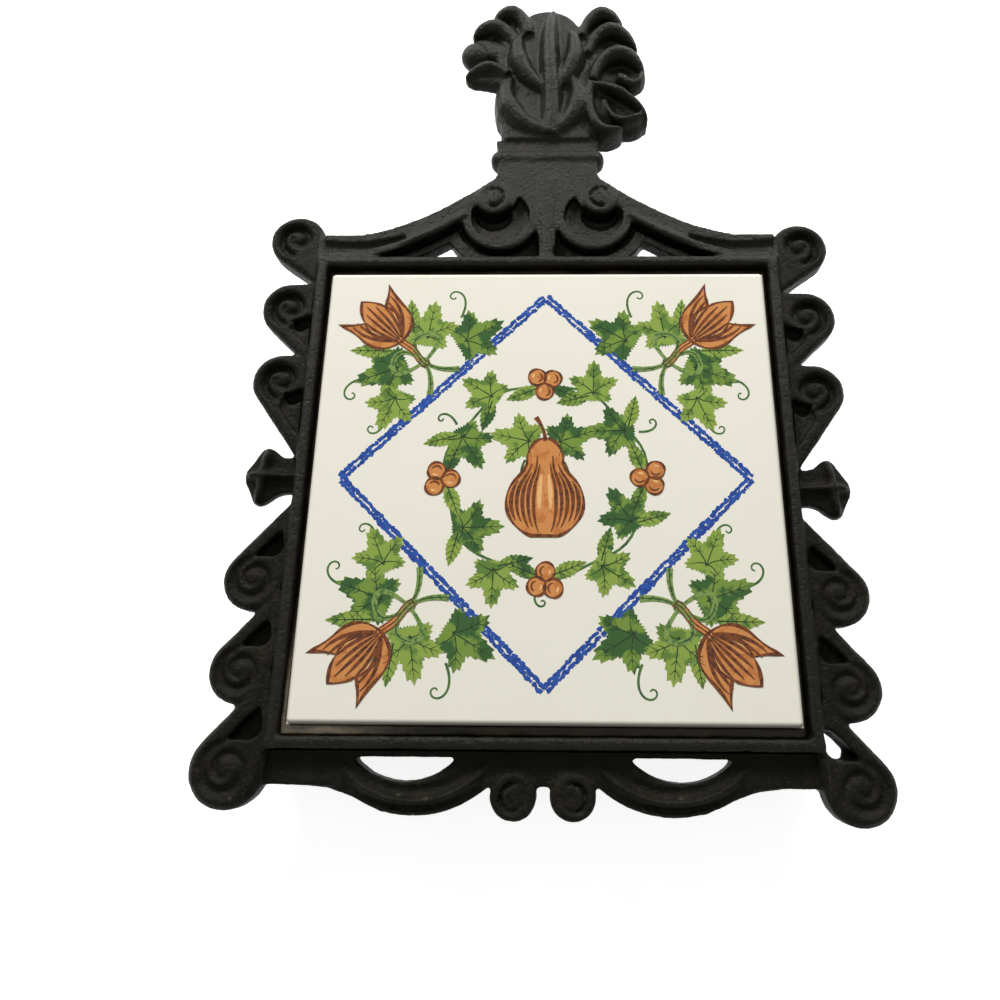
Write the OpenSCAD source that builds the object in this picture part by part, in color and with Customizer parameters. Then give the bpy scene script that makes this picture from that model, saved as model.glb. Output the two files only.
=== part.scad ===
// Tile trivet: a cast iron frame with side scrollwork, a pierced pediment, a leaf crest that
// serves as the handle, and a glazed tile bedded in it. Lengths are in millimetres.
// Inside the modules the tile's centre is the middle and its glazed face is height zero.

/* [Tile] */
// Side of the square tile
tile_side = 108; // [98:0.5:116]
// Thickness of the tile
tile_thick = 6; // [4.5:0.25:9]
// Radius of the cushioned edge of the glaze
tile_edge = 1.2; // [0.6:0.1:2]
// Width of each rib moulded on the tile's back
back_rib_w = 5; // [3:0.5:8]
// Depth of the hollows between those ribs
back_rib_depth = 1; // [0.5:0.1:1.8]

/* [Tray] */
// Gap between the tile and the rim, left and right
side_gap = 1.2; // [0.8:0.1:2.4]
// Gap between the tile and the rim, top and bottom
end_gap = 2.2; // [1.4:0.1:3.2]
// Width of the raised rim
rim_w = 2.6; // [2:0.1:4]
// Height of the rim above the glaze
rim_rise = 0.7; // [0:0.1:1.5]
// Rounding of the rim's two upper edges
rim_round = 0.9; // [0.4:0.1:1]
// Width of the ledge under the tile, measured from the rim
ledge_w = 10; // [6:0.5:18]
// Thickness of the ledge
ledge_thick = 2.4; // [1.8:0.1:4]
// Width of the two bars that cross under the tile
cross_bar_w = 8; // [5:0.5:14]

/* [Adhesive] */
// Thickness of the bed between ledge and tile
bed_thick = 0.6; // [0.3:0.1:1.5]
// Height to which the bead fills the gap beside the tile
bead_fill = 4; // [2:0.1:4.4]

/* [Feet] */
// Height of the feet under the ledge
foot_h = 9; // [5:0.5:16]
// Radius of a foot where it leaves the ledge
foot_r = 4.6; // [3:0.1:6]
// Radius of a foot's sole
foot_sole_r = 3.4; // [2:0.1:4.5]
// Distance of a foot's axis from the rim's outer faces
foot_inset = 8; // [6.5:0.5:12]

/* [Scrollwork] */
// Outer radius of a curl
curl_r = 7; // [5.5:0.1:8]
// Radius of the curl at the lower left corner
left_corner_r = 8; // [6:0.1:8.6]
// Radius of the curl at the lower right corner
right_corner_r = 7.4; // [6:0.1:8.6]
// Distance from one curl to the next
curl_pitch = 19.8; // [17:0.1:21]
// Distance from the bud to the first curl above it
bud_to_upper = 23.8; // [21:0.1:26]
// Distance from the bud to the first curl below it
bud_to_lower = 24.5; // [21:0.1:26]
// Distance of the curls' centres outside the rim
curl_out = 6.2; // [4.5:0.1:7]
// Lean of the lowest left curl away from the rim
left_lean = 1.6; // [0:0.1:2]
// Lean of the lowest right curl away from the rim
right_lean = 0.6; // [0:0.1:2]
// Height of the left bud over the middle of the tile
left_bud_y = 1.1; // [-3:0.1:3]
// Height of the right bud over the middle of the tile
right_bud_y = -1.7; // [-3:0.1:3]
// Thickness of the scrollwork
scroll_thick = 5.6; // [4:0.1:7]
// Depth of the scrollwork's face under the glaze
scroll_drop = 0.3; // [0:0.1:1.5]
// Width of the groove that draws the volute
groove_w = 1.5; // [0.6:0.1:1.8]
// Depth of that groove
groove_depth = 2; // [0.6:0.1:2.6]
// Reach of the bud beyond the rim
bud_reach = 12.7; // [9:0.1:14]
// Length of the bud along the side
bud_len = 14.4; // [10:0.1:18]

/* [Pediment] */
// Height of the straight part of the pediment above the rim, at the corners
shoulder_h = 6.4; // [4:0.1:9]
// Height of the pediment at the neck, above the shoulder
pediment_rise = 17.3; // [12:0.1:22]
// Length of the straight shoulder beside the corner
shoulder_len = 8; // [4:0.5:12]
// Depth of the raised border, measured straight down from its edge
border_w = 6.8; // [5:0.1:8]
// Width of the recess under the border
recess_w = 1.2; // [0.8:0.1:1.8]
// Width of the arched frame round each window
arch_w = 2.2; // [1.6:0.1:3]
// Thickness of the pediment
pediment_thick = 5.6; // [4:0.1:7]
// Depth of the arched frame under the border
arch_drop = 1.8; // [0.8:0.1:2.6]
// Radius of the lobe round each neck curl
lobe_r = 10; // [8:0.1:11]
// Radius of the two curls at the neck
neck_curl_r = 4.7; // [3.6:0.1:5.4]
// Half width of the neck
neck_half_w = 13.8; // [11:0.1:16]
// Length of the neck, from the pediment to the crest
neck_len = 12; // [9:0.5:18]
// Radius of the roll that crosses the neck
roll_r = 2.6; // [1.8:0.1:3.4]

/* [Crest] */
// Length of the crest, from the neck to its tip
crest_len = 45; // [36:0.5:56]
// Half width of the crest
crest_half_w = 27.2; // [22:0.2:32]
// Thickness of the crest at its edge
crest_thick = 6.4; // [4.5:0.1:8]
// Height of the leaves' ridges over the edge
leaf_rise = 2.8; // [1.5:0.1:4]
// Height of the middle rib over the edge
rib_rise = 4.2; // [2:0.1:5]

/* [Apron] */
// Height of the plain web under the rim
apron_h = 7.2; // [5:0.1:9]
// Height of a swag at its lowest point, under the rim
swag_h = 13; // [10:0.1:14.5]
// Half length of a swag
swag_half_len = 15.6; // [12:0.1:18]
// Half length of the window over a swag
window_half_len = 11; // [7:0.1:12]
// Height of that window
window_h = 4.8; // [3.5:0.1:6]
// Thickness of the apron
apron_thick = 5; // [3.5:0.1:6.5]
// Radius of the two curls at the middle of the apron
apron_curl_r = 4.8; // [3.6:0.1:5.4]

/* [Hidden] */
$fn = 48;
IRON = [0.13, 0.13, 0.12];
GLAZE = [0.9, 0.88, 0.8];
GLUE = [0.3, 0.27, 0.18];

// A cut runs this far past what it cuts
overrun = 1;
// What is only seated in the iron keeps this clearance
seat_gap = 0.05;

// Tray, in plan and in height
tile_half = tile_side / 2;
tray_in = [tile_half + side_gap, tile_half + end_gap];
tray_out = [tray_in.x + rim_w, tray_in.y + rim_w];
tile_back_z = -tile_thick;
ledge_z = tile_back_z - bed_thick;
under_z = ledge_z - ledge_thick;
sole_z = under_z - foot_h;

// Scrollwork: curl centres, from the bud outwards
curls_a_side = 3;
scroll_z = -scroll_drop;
scroll_low_z = scroll_z - scroll_thick;
upper_curl = [for (i = [0:curls_a_side - 1]) bud_to_upper + i * curl_pitch];
lower_curl = [for (i = [0:curls_a_side - 1]) bud_to_lower + i * curl_pitch];
corner_low_y = min(right_bud_y - right_corner_r, left_bud_y - left_corner_r) - lower_curl[curls_a_side - 1];

// Pediment and neck
border_z = 0;
arch_z = border_z - arch_drop;
pediment_z = border_z - pediment_thick;
shoulder_y = tray_out.y + shoulder_h;
neck_y = shoulder_y + pediment_rise;
sweep_power = 1.65;
lobe_at = [lobe_r * 1.2, tray_out.y + lobe_r * 1.22];
neck_curl_at = [neck_half_w, lobe_at.y + neck_curl_r * 1.1];
crest_y = neck_y + neck_len;
crest_top_y = crest_y + crest_len;
crest_z = pediment_z + crest_thick;
// The beads, stems and small curls stand this far over the plain face
bead_lift = 0.6;

// Apron, with the middle of a swag, of its window and of the small curls
apron_z = -rim_w;
apron_low_z = apron_z - apron_thick;
swag_x = tray_out.x * 0.465;
window_x = swag_x + swag_half_len * 0.135;
swag_sag = swag_h - apron_h;
swag_edge_r = (swag_half_len * swag_half_len + swag_sag * swag_sag) / (2 * swag_sag);
swag_y = -tray_out.y - swag_h + swag_edge_r;
apron_curl_at = [apron_curl_r * 1.28, -tray_out.y - swag_h * 1.06 + apron_curl_r];

// The part's origin is under the middle of its whole length and width, at the feet's soles
mid_x = (right_lean + right_corner_r - left_lean - left_corner_r) / 2;
mid_y = (crest_top_y + corner_low_y) / 2;
module placed() {
    translate([-mid_x, -mid_y, -sole_z]) children();
}

// Direction of a path at one of its points
function heading(path, i) =
    let (d = path[min(i + 1, len(path) - 1)] - path[max(i - 1, 0)]) d / norm(d);

// Cross sections: a share of the half width, then a share of the height
BAND_SHARES = [[1, 0], [1, 0.72], [0.5, 1], [-0.5, 1], [-1, 0.72], [-1, 0]];
GROOVE_SHARES = [[0.45, 0], [1, 1], [-1, 1], [-0.45, 0]];

// Solid swept along a flat path. widths are half widths, crowns are heights over base
module sweep(path, widths, base, crowns, section) {
    n = len(path);
    k = len(section);
    points = [for (i = [0:n - 1]) let (d = heading(path, i)) for (s = section)
        [path[i].x + d.y * widths[i] * s.x, path[i].y - d.x * widths[i] * s.x,
         base + (crowns[i] - base) * s.y]];
    sides = [for (i = [0:n - 2]) for (j = [0:k - 1]) let (a = i * k + j, b = i * k + (j + 1) % k)
        each [[a, b, b + k], [a, b + k, a + k]]];
    first = [for (j = [1:k - 2]) [0, j + 1, j]];
    last = [for (j = [1:k - 2]) [0, j, j + 1] + (n - 1) * k * [1, 1, 1]];
    polyhedron(points, concat(sides, first, last));
}

// Flat round piece with a softened upper edge
module cushion(r, z_low, z_top, soft) {
    hull() {
        translate([0, 0, z_low]) cylinder(r = r, h = z_top - z_low - soft, $fn = 28);
        translate([0, 0, z_low]) cylinder(r = r - soft, h = z_top - z_low, $fn = 28);
    }
}

// Turned boss with a softened upper edge
module boss(r, z_low, z_top, soft) {
    translate([0, 0, z_low]) rotate_extrude() polygon([[0, 0], [r, 0], [r, z_top - z_low - soft],
        [r - soft * 0.3, z_top - z_low - soft * 0.3], [r - soft, z_top - z_low], [0, z_top - z_low]]);
}

// Tray

module tray() {
    color(IRON) placed() difference() {
        union() {
            translate([0, 0, (rim_rise - rim_round + under_z) / 2])
                cube([2 * tray_out.x, 2 * tray_out.y, rim_rise - rim_round - under_z], center = true);
            rim_bead();
        }
        translate([0, 0, (rim_rise + overrun + ledge_z) / 2])
            cube([2 * tray_in.x, 2 * tray_in.y, rim_rise + overrun - ledge_z], center = true);
        ledge_openings();
    }
}

// The rim's upper part is a flat top with a chamfer on both sides
module rim_bead() {
    translate([0, 0, rim_rise - rim_round]) {
        for (side = [-1, 1]) {
            translate([0, side * tray_out.y, 0]) rim_bar(2 * tray_out.x, side);
        }
        for (side = [-1, 1]) {
            rotate(90) translate([0, side * tray_out.x, 0]) rim_bar(2 * tray_out.y, side);
        }
    }
}

// One bar of the rim along X, with its outer face at zero and mitred ends
module rim_bar(length, side) {
    mirror([0, side > 0 ? 0 : 1, 0]) difference() {
        rotate([90, 0, -90]) translate([0, 0, -length / 2]) linear_extrude(height = length)
            polygon([[0, 0], [rim_w, 0], [rim_w, rim_round / 2], [rim_w - rim_round / 2, rim_round],
                [rim_round, rim_round], [rim_round / 3, rim_round * 2 / 3]]);
        for (end = [-1, 1]) {
            translate([end * length / 2, 0, -overrun]) rotate(end * 45)
                translate([end > 0 ? 0 : -2 * length, -length, 0])
                cube([2 * length, 2 * length, rim_round + 2 * overrun]);
        }
    }
}

// Four square openings under the tile, between the ledge and the two crossing bars
module ledge_openings() {
    open_out = [tray_in.x - ledge_w, tray_in.y - ledge_w];
    open_size = [open_out.x - cross_bar_w / 2, open_out.y - cross_bar_w / 2];
    for (sx = [-1, 1]) {
        for (sy = [-1, 1]) {
            translate([sx * (open_out.x + cross_bar_w / 2) / 2, sy * (open_out.y + cross_bar_w / 2) / 2,
                (ledge_z + under_z) / 2])
                cube([open_size.x, open_size.y, ledge_thick + 2 * overrun], center = true);
        }
    }
}

// Feet

module feet() {
    foot_at = [tray_out.x - foot_inset, tray_out.y - foot_inset];
    color(IRON) placed() for (sx = [-1, 1]) {
        for (sy = [-1, 1]) {
            translate([sx * foot_at.x, sy * foot_at.y, under_z]) foot();
        }
    }
}

module foot() {
    flare = foot_h / 4;
    rotate([180, 0, 0]) rotate_extrude() polygon([[0, 0], [foot_r, 0], [foot_r - flare / 3, flare / 2],
        [(foot_r + foot_sole_r) / 2 - flare / 6, flare], [foot_sole_r, foot_h - flare / 4],
        [foot_sole_r - flare / 4, foot_h], [0, foot_h]]);
}

// Tile and adhesive

module tile() {
    color(GLAZE) placed() difference() {
        union() {
            translate([0, 0, (tile_back_z - tile_edge) / 2])
                cube([tile_side, tile_side, tile_thick - tile_edge], center = true);
            glaze_cushion();
        }
        back_hollows();
    }
}

// The glazed face, rounded along its four edges and at its corners
module glaze_cushion() {
    face = tile_side - 2 * tile_edge;
    translate([0, 0, -tile_edge / 2]) cube([face, face, tile_edge], center = true);
    for (turn = [0:90:270]) {
        rotate(turn) {
            translate([face / 2, face / 2, -tile_edge]) rotate([90, 0, 0]) linear_extrude(height = face)
                edge_quarter();
            translate([face / 2, face / 2, -tile_edge]) rotate_extrude(angle = 90) edge_quarter();
        }
    }
}

module edge_quarter() {
    intersection() {
        circle(r = tile_edge);
        square(tile_edge + overrun);
    }
}

// Rows of shallow square hollows give the biscuit back its key
module back_hollows() {
    cells = 5;
    cell = (tile_side - (cells + 1) * back_rib_w) / cells;
    step = cell + back_rib_w;
    middle = (cells - 1) / 2;
    for (i = [0:cells - 1]) {
        for (j = [0:cells - 1]) {
            translate([(i - middle) * step, (j - middle) * step, tile_back_z + (back_rib_depth - overrun) / 2])
                cube([cell, cell, back_rib_depth + overrun], center = true);
        }
    }
}

// A ribbon of adhesive on the ledge, all the way round
module adhesive_bed() {
    color(GLUE) placed() translate([0, 0, (tile_back_z + ledge_z) / 2]) difference() {
        cube([2 * tray_in.x - 2 * seat_gap, 2 * tray_in.y - 2 * seat_gap, bed_thick], center = true);
        cube([2 * (tray_in.x - ledge_w * 0.8), 2 * (tray_in.y - ledge_w * 0.8), bed_thick + 2 * overrun],
            center = true);
    }
}

// What squeezed up into the gap between tile and rim
module adhesive_bead() {
    color(GLUE) placed() translate([0, 0, tile_back_z]) difference() {
        translate([0, 0, bead_fill / 2])
            cube([2 * (tray_in.x - seat_gap), 2 * (tray_in.y - seat_gap), bead_fill], center = true);
        translate([0, 0, bead_fill / 2])
            cube([tile_side + 2 * seat_gap, tile_side + 2 * seat_gap, bead_fill + 2 * overrun],
            center = true);
    }
}

// Scrollwork

// Spiral from an angle through turn degrees, its distance from the centre falling from wide_share
// to eye_share of r, later the higher the power
SPIRAL_STEP = 18;
function spiral_path(r, centre_shares, from, turn, wide_share, eye_share, power) =
    let (steps = ceil(turn / SPIRAL_STEP))
    [for (i = [0:steps]) let (a = from + turn * i / steps,
        d = r * (wide_share - (wide_share - eye_share) * pow(i / steps, power)))
        r * centre_shares + [d * cos(a), d * sin(a)]];

// Groove along a path, half as wide at its inner end, its walls leaning out
module groove(path, wide, low_z, high_z) {
    n = len(path);
    sweep(path, [for (i = [0:n - 1]) wide / 2 * (1 - 0.5 * pow(i / (n - 1), 2))], low_z,
        [for (p = path) high_z], GROOVE_SHARES);
}

// Openings beside the tail of an upper and of a lower curl, as shares of its radius
UPPER_GAP_SHARES = [[-0.16, -0.54], [-0.3, -0.84], [-0.52, -0.86], [-0.84, -0.64], [-0.84, -0.34],
    [-0.5, -0.44]];
LOWER_GAP_SHARES = [[0.1, -0.7], [-0.12, -0.98], [-0.4, -1.28], [-0.76, -1.6], [-0.86, -1], [-0.72, -0.8],
    [-0.5, -0.72], [-0.2, -0.74]];
// Depth of those openings as shares of the thickness, from the bud outwards above it, and below it
UPPER_GAP_DEPTH_SHARES = [0.75, 0.75, 0];
LOWER_GAP_DEPTH_SHARE = 0.7;
// What of the lowest right one runs right through the casting
THROUGH_GAP_SHARES = [[-0.3, -0.76], [-0.26, -1.02], [-0.5, -1.3], [-0.88, -1.6], [-1.1, -1.2],
    [-0.8, -0.86]];
// Sunk web between the rim and the tail of an upper curl: its sides, the width of the tail's band
// that stays beside it, and its depth as a share of the thickness
WEB_SIDE_SHARES = [-0.86, -0.1];
BAND_W_SHARE = 0.45;
WEB_DEPTH_SHARE = 0.22;

// Angle of each tail to the rim's normal, from the bud outwards above it, and below it
UPPER_TAIL_ANGLES = [36, 46, 54];
LOWER_TAIL_ANGLE = 42;
// A curl's tail ends in a small round inside the rim
TAIL_TIP_SHARE = 0.25;
tail_reach = curl_out + rim_w;
function tail_tip(r, angle) =
    [-tail_reach, -r * (1 - TAIL_TIP_SHARE) / sin(angle) - tail_reach / tan(angle)];

// Curl at the origin, outwards along +X, its tail running down to the rim
module curl(r, angle, backed, lower, gap_depth_share) {
    tip_r = r * TAIL_TIP_SHARE;
    difference() {
        union() {
            hull() {
                cushion(r, scroll_low_z, scroll_z, r * 0.16);
                translate(tail_tip(r, angle)) cushion(tip_r, scroll_low_z, scroll_z, r * 0.1);
            }
            if (backed) hull() {
                cushion(r, scroll_low_z, scroll_z, r * 0.16);
                translate([-tail_reach, r - tip_r]) cushion(tip_r, scroll_low_z, scroll_z, r * 0.1);
            }
        }
        translate([0, 0, scroll_z]) curl_groove(r, lower);
        if (gap_depth_share > 0) layer(scroll_z - scroll_thick * gap_depth_share, scroll_z + overrun)
            polygon(r * (lower ? LOWER_GAP_SHARES : UPPER_GAP_SHARES));
        if (gap_depth_share > 0 && !lower)
            layer(scroll_z - scroll_thick * WEB_DEPTH_SHARE, scroll_z + overrun)
            polygon(r * tail_web_shares(angle));
    }
}

// Corners of the sunk web, which follows the tail's edge at a band's distance
function tail_web_shares(angle) =
    [[WEB_SIDE_SHARES[0], -0.3], [WEB_SIDE_SHARES[1], -0.54],
        for (x = [WEB_SIDE_SHARES[1], WEB_SIDE_SHARES[0]])
            [x, x / tan(angle) - (1 - BAND_W_SHARE) / sin(angle)]];

module curl_groove(r, lower) {
    path = lower ? spiral_path(r, [0.02, -0.1], 280, 520, 0.57, 0.32, 1)
        : spiral_path(r, [-0.08, 0.15], 258, 308, 0.54, 0.07, 4.5);
    groove(path, groove_w, -groove_depth, overrun / 2);
}

// One side of the frame, drawn for the right: three curls up, a bud, three curls down
module side_scrolls(bud_y, corner_r, lean, open_corner) {
    last = curls_a_side - 1;
    difference() {
        translate([tray_out.x, bud_y, 0]) {
            for (i = [0:last]) {
                translate([curl_out, upper_curl[i], 0])
                    curl(curl_r, UPPER_TAIL_ANGLES[i], i < last, false, UPPER_GAP_DEPTH_SHARES[i]);
                translate([curl_out + lean * (i + 1) / curls_a_side, -lower_curl[i], 0]) mirror([0, 1, 0])
                    curl(i == last ? corner_r : curl_r, LOWER_TAIL_ANGLE, false, true, LOWER_GAP_DEPTH_SHARE);
            }
            bud();
        }
        translate([0, 0, (scroll_z + scroll_low_z) / 2])
            cube([2 * tray_out.x, 2 * tray_out.y, scroll_thick + 2 * overrun], center = true);
        if (open_corner) translate([tray_out.x + curl_out + lean, bud_y - lower_curl[last], 0])
            mirror([0, 1, 0]) layer(scroll_low_z - overrun, scroll_z + overrun)
            polygon(corner_r * THROUGH_GAP_SHARES);
    }
}

// Outline of the bud above and below its stem line: shares of its reach and half length
BUD_UPPER_SHARES = [[-0.1, 0.8], [0.06, 0.72], [0.2, 0.68], [0.34, 0.7], [0.44, 0.84], [0.53, 0.98],
    [0.63, 1.03], [0.72, 0.96], [0.8, 0.74], [0.9, 0.44], [0.98, 0.24], [1, 0.1]];
BUD_LOWER_SHARES = [[-0.1, 0.62], [0.1, 0.54], [0.28, 0.53], [0.42, 0.62], [0.54, 0.8], [0.66, 0.93],
    [0.745, 0.95], [0.81, 0.84], [0.86, 0.62], [0.93, 0.38], [0.99, 0.2], [1, 0.08]];
// Where the bud's ridges cross, and the heights of its hollows and ridges under the crossing
BUD_CROSS_SHARE = 0.64;
BUD_HOLLOW_SHARE = 0.5;
RIDGE_SHARES = [[1, 0], [0.16, 1], [-0.16, 1], [-1, 0]];

// Bud with crossing ridges, pointing outwards
module bud() {
    half = bud_len / 2;
    upper = [for (s = BUD_UPPER_SHARES) [s.x * bud_reach, s.y * half]];
    lower = [for (i = [len(BUD_LOWER_SHARES) - 1:-1:0])
        [BUD_LOWER_SHARES[i].x * bud_reach, -BUD_LOWER_SHARES[i].y * half]];
    hollow_z = scroll_z - scroll_thick * BUD_HOLLOW_SHARE;
    layer(scroll_low_z, hollow_z) polygon(concat(upper, lower));
    bud_ridge([[-0.1, 0], [0.3, 0], [BUD_CROSS_SHARE, 0], [0.86, 0], [0.97, 0]],
        [0.24, 0.22, 0.34, 0.24, 0.1], [0.66, 0.72, 1, 0.8, 0.2], hollow_z);
    for (side = [-1, 1]) {
        bud_ridge([[BUD_CROSS_SHARE, 0], [BUD_CROSS_SHARE - side * 0.01, side * 0.4],
            [BUD_CROSS_SHARE - side * 0.04, side * 0.7], [BUD_CROSS_SHARE + 0.02 - side * 0.06, side * 0.93]],
            [0.3, 0.28, 0.3, 0.16], [1, 0.8, 0.7, 0.3], hollow_z);
    }
}

// One ridge of the bud along places, with its half widths as shares of the bud's half length
// and its heights as shares of the hollow's depth
module bud_ridge(place_shares, width_shares, height_shares, hollow_z) {
    half = bud_len / 2;
    sweep([for (s = place_shares) [s.x * bud_reach, s.y * half]], width_shares * half,
        hollow_z - scroll_thick * 0.2, [for (h = height_shares) hollow_z + h * (scroll_z - hollow_z)],
        RIDGE_SHARES);
}

module right_scrollwork() {
    color(IRON) placed() side_scrolls(right_bud_y, right_corner_r, right_lean, true);
}

module left_scrollwork() {
    color(IRON) placed() mirror([1, 0, 0]) side_scrolls(left_bud_y, left_corner_r, left_lean, false);
}

// Pediment

function edge_y(x) =
    let (from_x = tray_out.x - shoulder_len, t = min(max((from_x - x) / (from_x - neck_half_w), 0), 1))
    shoulder_y + pediment_rise * pow(t, sweep_power);

// Area between the rim and the pediment's swept edge lowered by depth, right half
module under_edge(depth) {
    steps = 26;
    sweep_points = [for (i = [0:steps]) let (x = neck_half_w + (tray_out.x - neck_half_w) * i / steps)
        [x, edge_y(x) - depth]];
    intersection() {
        polygon(concat([[0, neck_y - depth]], sweep_points, [[tray_out.x, 0], [0, 0]]));
        translate([0, tray_out.y]) square([tray_out.x, neck_y]);
    }
}

module layer(z_low, z_top) {
    translate([0, 0, z_low]) linear_extrude(height = z_top - z_low) children();
}

module window_outline() {
    difference() {
        under_edge(border_w + recess_w + arch_w);
        translate(lobe_at) circle(r = lobe_r + recess_w + arch_w * 1.45);
        translate([0, tray_out.y]) square([lobe_at.x, neck_y]);
    }
}

module pediment_half() {
    floor_z = arch_z - arch_drop;
    dish_z = border_z - arch_drop * 1.2;
    ring_w = lobe_r * 0.25;
    difference() {
        union() {
            layer(pediment_z, floor_z) under_edge(0);
            layer(pediment_z, border_z) difference() {
                under_edge(0);
                under_edge(border_w);
                dish_outline(ring_w);
            }
            layer(pediment_z, arch_z) difference() {
                under_edge(border_w + recess_w);
                translate(lobe_at) circle(r = lobe_r + recess_w);
                translate([0, tray_out.y]) square([lobe_at.x, neck_y]);
            }
            border_bead();
            neck_lobe(dish_z, ring_w);
            translate(neck_curl_at) boss(neck_curl_r, pediment_z, border_z + bead_lift,
                neck_curl_r * 0.14);
            centre_stem();
        }
        layer(pediment_z - overrun, border_z + overrun) window_outline();
        lobe_pocket(ring_w);
        shoulder_cove();
        translate(concat(neck_curl_at, border_z + bead_lift)) small_groove(neck_curl_r, -1);
    }
}

// Soft bead along the lower edge of the border
module border_bead() {
    bead_w = border_w * 0.17;
    from_x = tray_out.x * 0.72;
    to_x = lobe_at.x + lobe_r * 0.9;
    steps = 9;
    path = [for (i = [0:steps]) let (x = from_x + (to_x - from_x) * i / steps)
        [x, edge_y(x) - border_w + bead_w]];
    fade = [for (i = [0:steps]) min(1, 3 * i / steps)];
    sweep(path, bead_w * [for (f = fade) 0.3 + 0.7 * f], pediment_z,
        [for (f = fade) border_z + bead_lift * (1.5 * f - 0.5)], BAND_SHARES);
}

// Cove in the shoulder between the pediment's edge and the rim
module shoulder_cove() {
    cove_w = shoulder_h * 0.36;
    from_x = tray_out.x + overrun;
    to_x = lobe_at.x * 3;
    steps = 9;
    path = [for (i = [0:steps]) let (x = from_x + (to_x - from_x) * i / steps)
        [x, edge_y(x) - shoulder_h * (0.5 + 0.1 * i / steps)]];
    sweep(path, [for (i = [0:steps]) cove_w * (1 - 0.7 * i / steps)], border_z - bead_lift * 2,
        [for (p = path) border_z + overrun / 2], GROOVE_SHARES);
}

// Dish with a raised ring below the neck's curl
module neck_lobe(dish_z, ring_w) {
    translate(lobe_at) {
        layer(pediment_z, dish_z) circle(r = lobe_r);
        intersection() {
            difference() {
                boss(lobe_r, pediment_z, border_z, lobe_r * 0.05);
                layer(pediment_z, border_z + overrun) circle(r = lobe_r - ring_w);
            }
            translate([-lobe_r, -lobe_r, pediment_z])
                cube([2 * lobe_r, 1.1 * lobe_r, pediment_thick + overrun]);
        }
    }
    layer(pediment_z, border_z) difference() {
        intersection() {
            under_edge(0);
            translate([0, lobe_at.y]) square([lobe_at.x + lobe_r, neck_y]);
        }
        dish_outline(ring_w);
    }
}

// The dish inside the ring, up to a collar round the neck's curl
module dish_outline(ring_w) {
    difference() {
        translate(lobe_at) circle(r = lobe_r - ring_w);
        translate(neck_curl_at + [0, neck_curl_r * 0.35]) circle(r = neck_curl_r * 1.35);
    }
}

// Deep crescent under the neck's curl
module lobe_pocket(ring_w) {
    layer(pediment_z + pediment_thick * 0.2, border_z + bead_lift + overrun) intersection() {
        difference() {
            translate(neck_curl_at - [0, neck_curl_r * 0.75]) circle(r = neck_curl_r);
            translate(neck_curl_at) circle(r = neck_curl_r);
        }
        translate(lobe_at) circle(r = lobe_r - ring_w);
    }
}

// Spiral in the face of one of the small curls
module small_groove(r, side) {
    path = spiral_path(r, [-0.06, 0.1], 250, 330, 0.62, 0.1, 3);
    mirror([side > 0 ? 0 : 1, 0, 0]) groove(path, groove_w * 0.8, -groove_depth * 0.7, overrun / 2);
}

// Half of the stem that runs down between the two lobes
module centre_stem() {
    half_w = (lobe_at.x - lobe_r) * 1.6;
    for (step = [[1, border_z], [0.6, border_z + bead_lift]]) {
        layer(pediment_z, step[1]) polygon([[0, neck_y], [half_w * step[0], neck_y],
            [half_w * step[0] * 0.6, tray_out.y], [0, tray_out.y]]);
    }
}

module pediment() {
    color(IRON) placed() difference() {
        for (side = [0, 1]) {
            mirror([side, 0, 0]) pediment_half();
        }
        corner_cut(1, right_bud_y + upper_curl[curls_a_side - 1], 0, curl_r);
        corner_cut(-1, left_bud_y + upper_curl[curls_a_side - 1], 0, curl_r);
    }
}

// Room for the curl at a corner of the frame, and for its tail
module corner_cut(side, y, lean, r) {
    angle = y > 0 ? UPPER_TAIL_ANGLES[curls_a_side - 1] : LOWER_TAIL_ANGLE;
    translate([side * (tray_out.x + curl_out + lean), y, 0]) mirror([side > 0 ? 0 : 1, 0, 0])
        layer(apron_low_z - overrun, rim_rise + bead_lift + overrun)
        mirror([0, y > 0 ? 0 : 1, 0]) hull() {
            circle(r = r + seat_gap, $fn = 56);
            translate(tail_tip(r, angle)) circle(r = r * TAIL_TIP_SHARE + seat_gap, $fn = 28);
        }
}

// Neck

NECK_WAIST_SHARE = 0.06;

module neck() {
    color(IRON) placed() {
        waist = neck_half_w * (1 - NECK_WAIST_SHARE);
        roll_y = neck_y + neck_len * 0.58;
        layer(pediment_z, border_z) polygon([[-neck_half_w, neck_y], [neck_half_w, neck_y],
            [waist, neck_y + neck_len * 0.16], [waist, roll_y], [waist, crest_y - neck_len * 0.2],
            [neck_half_w, crest_y], [-neck_half_w, crest_y], [-waist, crest_y - neck_len * 0.2],
            [-waist, roll_y], [-waist, neck_y + neck_len * 0.16]]);
        hull() for (side = [-1, 1]) {
            translate([side * (neck_half_w - roll_r / 2), roll_y, pediment_z + roll_r])
                sphere(r = roll_r, $fn = 20);
            translate([side * (neck_half_w - roll_r / 2), roll_y, border_z + bead_lift - roll_r])
                sphere(r = roll_r, $fn = 20);
        }
    }
}

// Crest

LEAF_SHARES = [[1, 0], [1, 0.42], [0.84, 0.74], [0.46, 0.94], [0, 1], [-0.46, 0.94], [-0.84, 0.74],
    [-1, 0.42], [-1, 0]];

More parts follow.
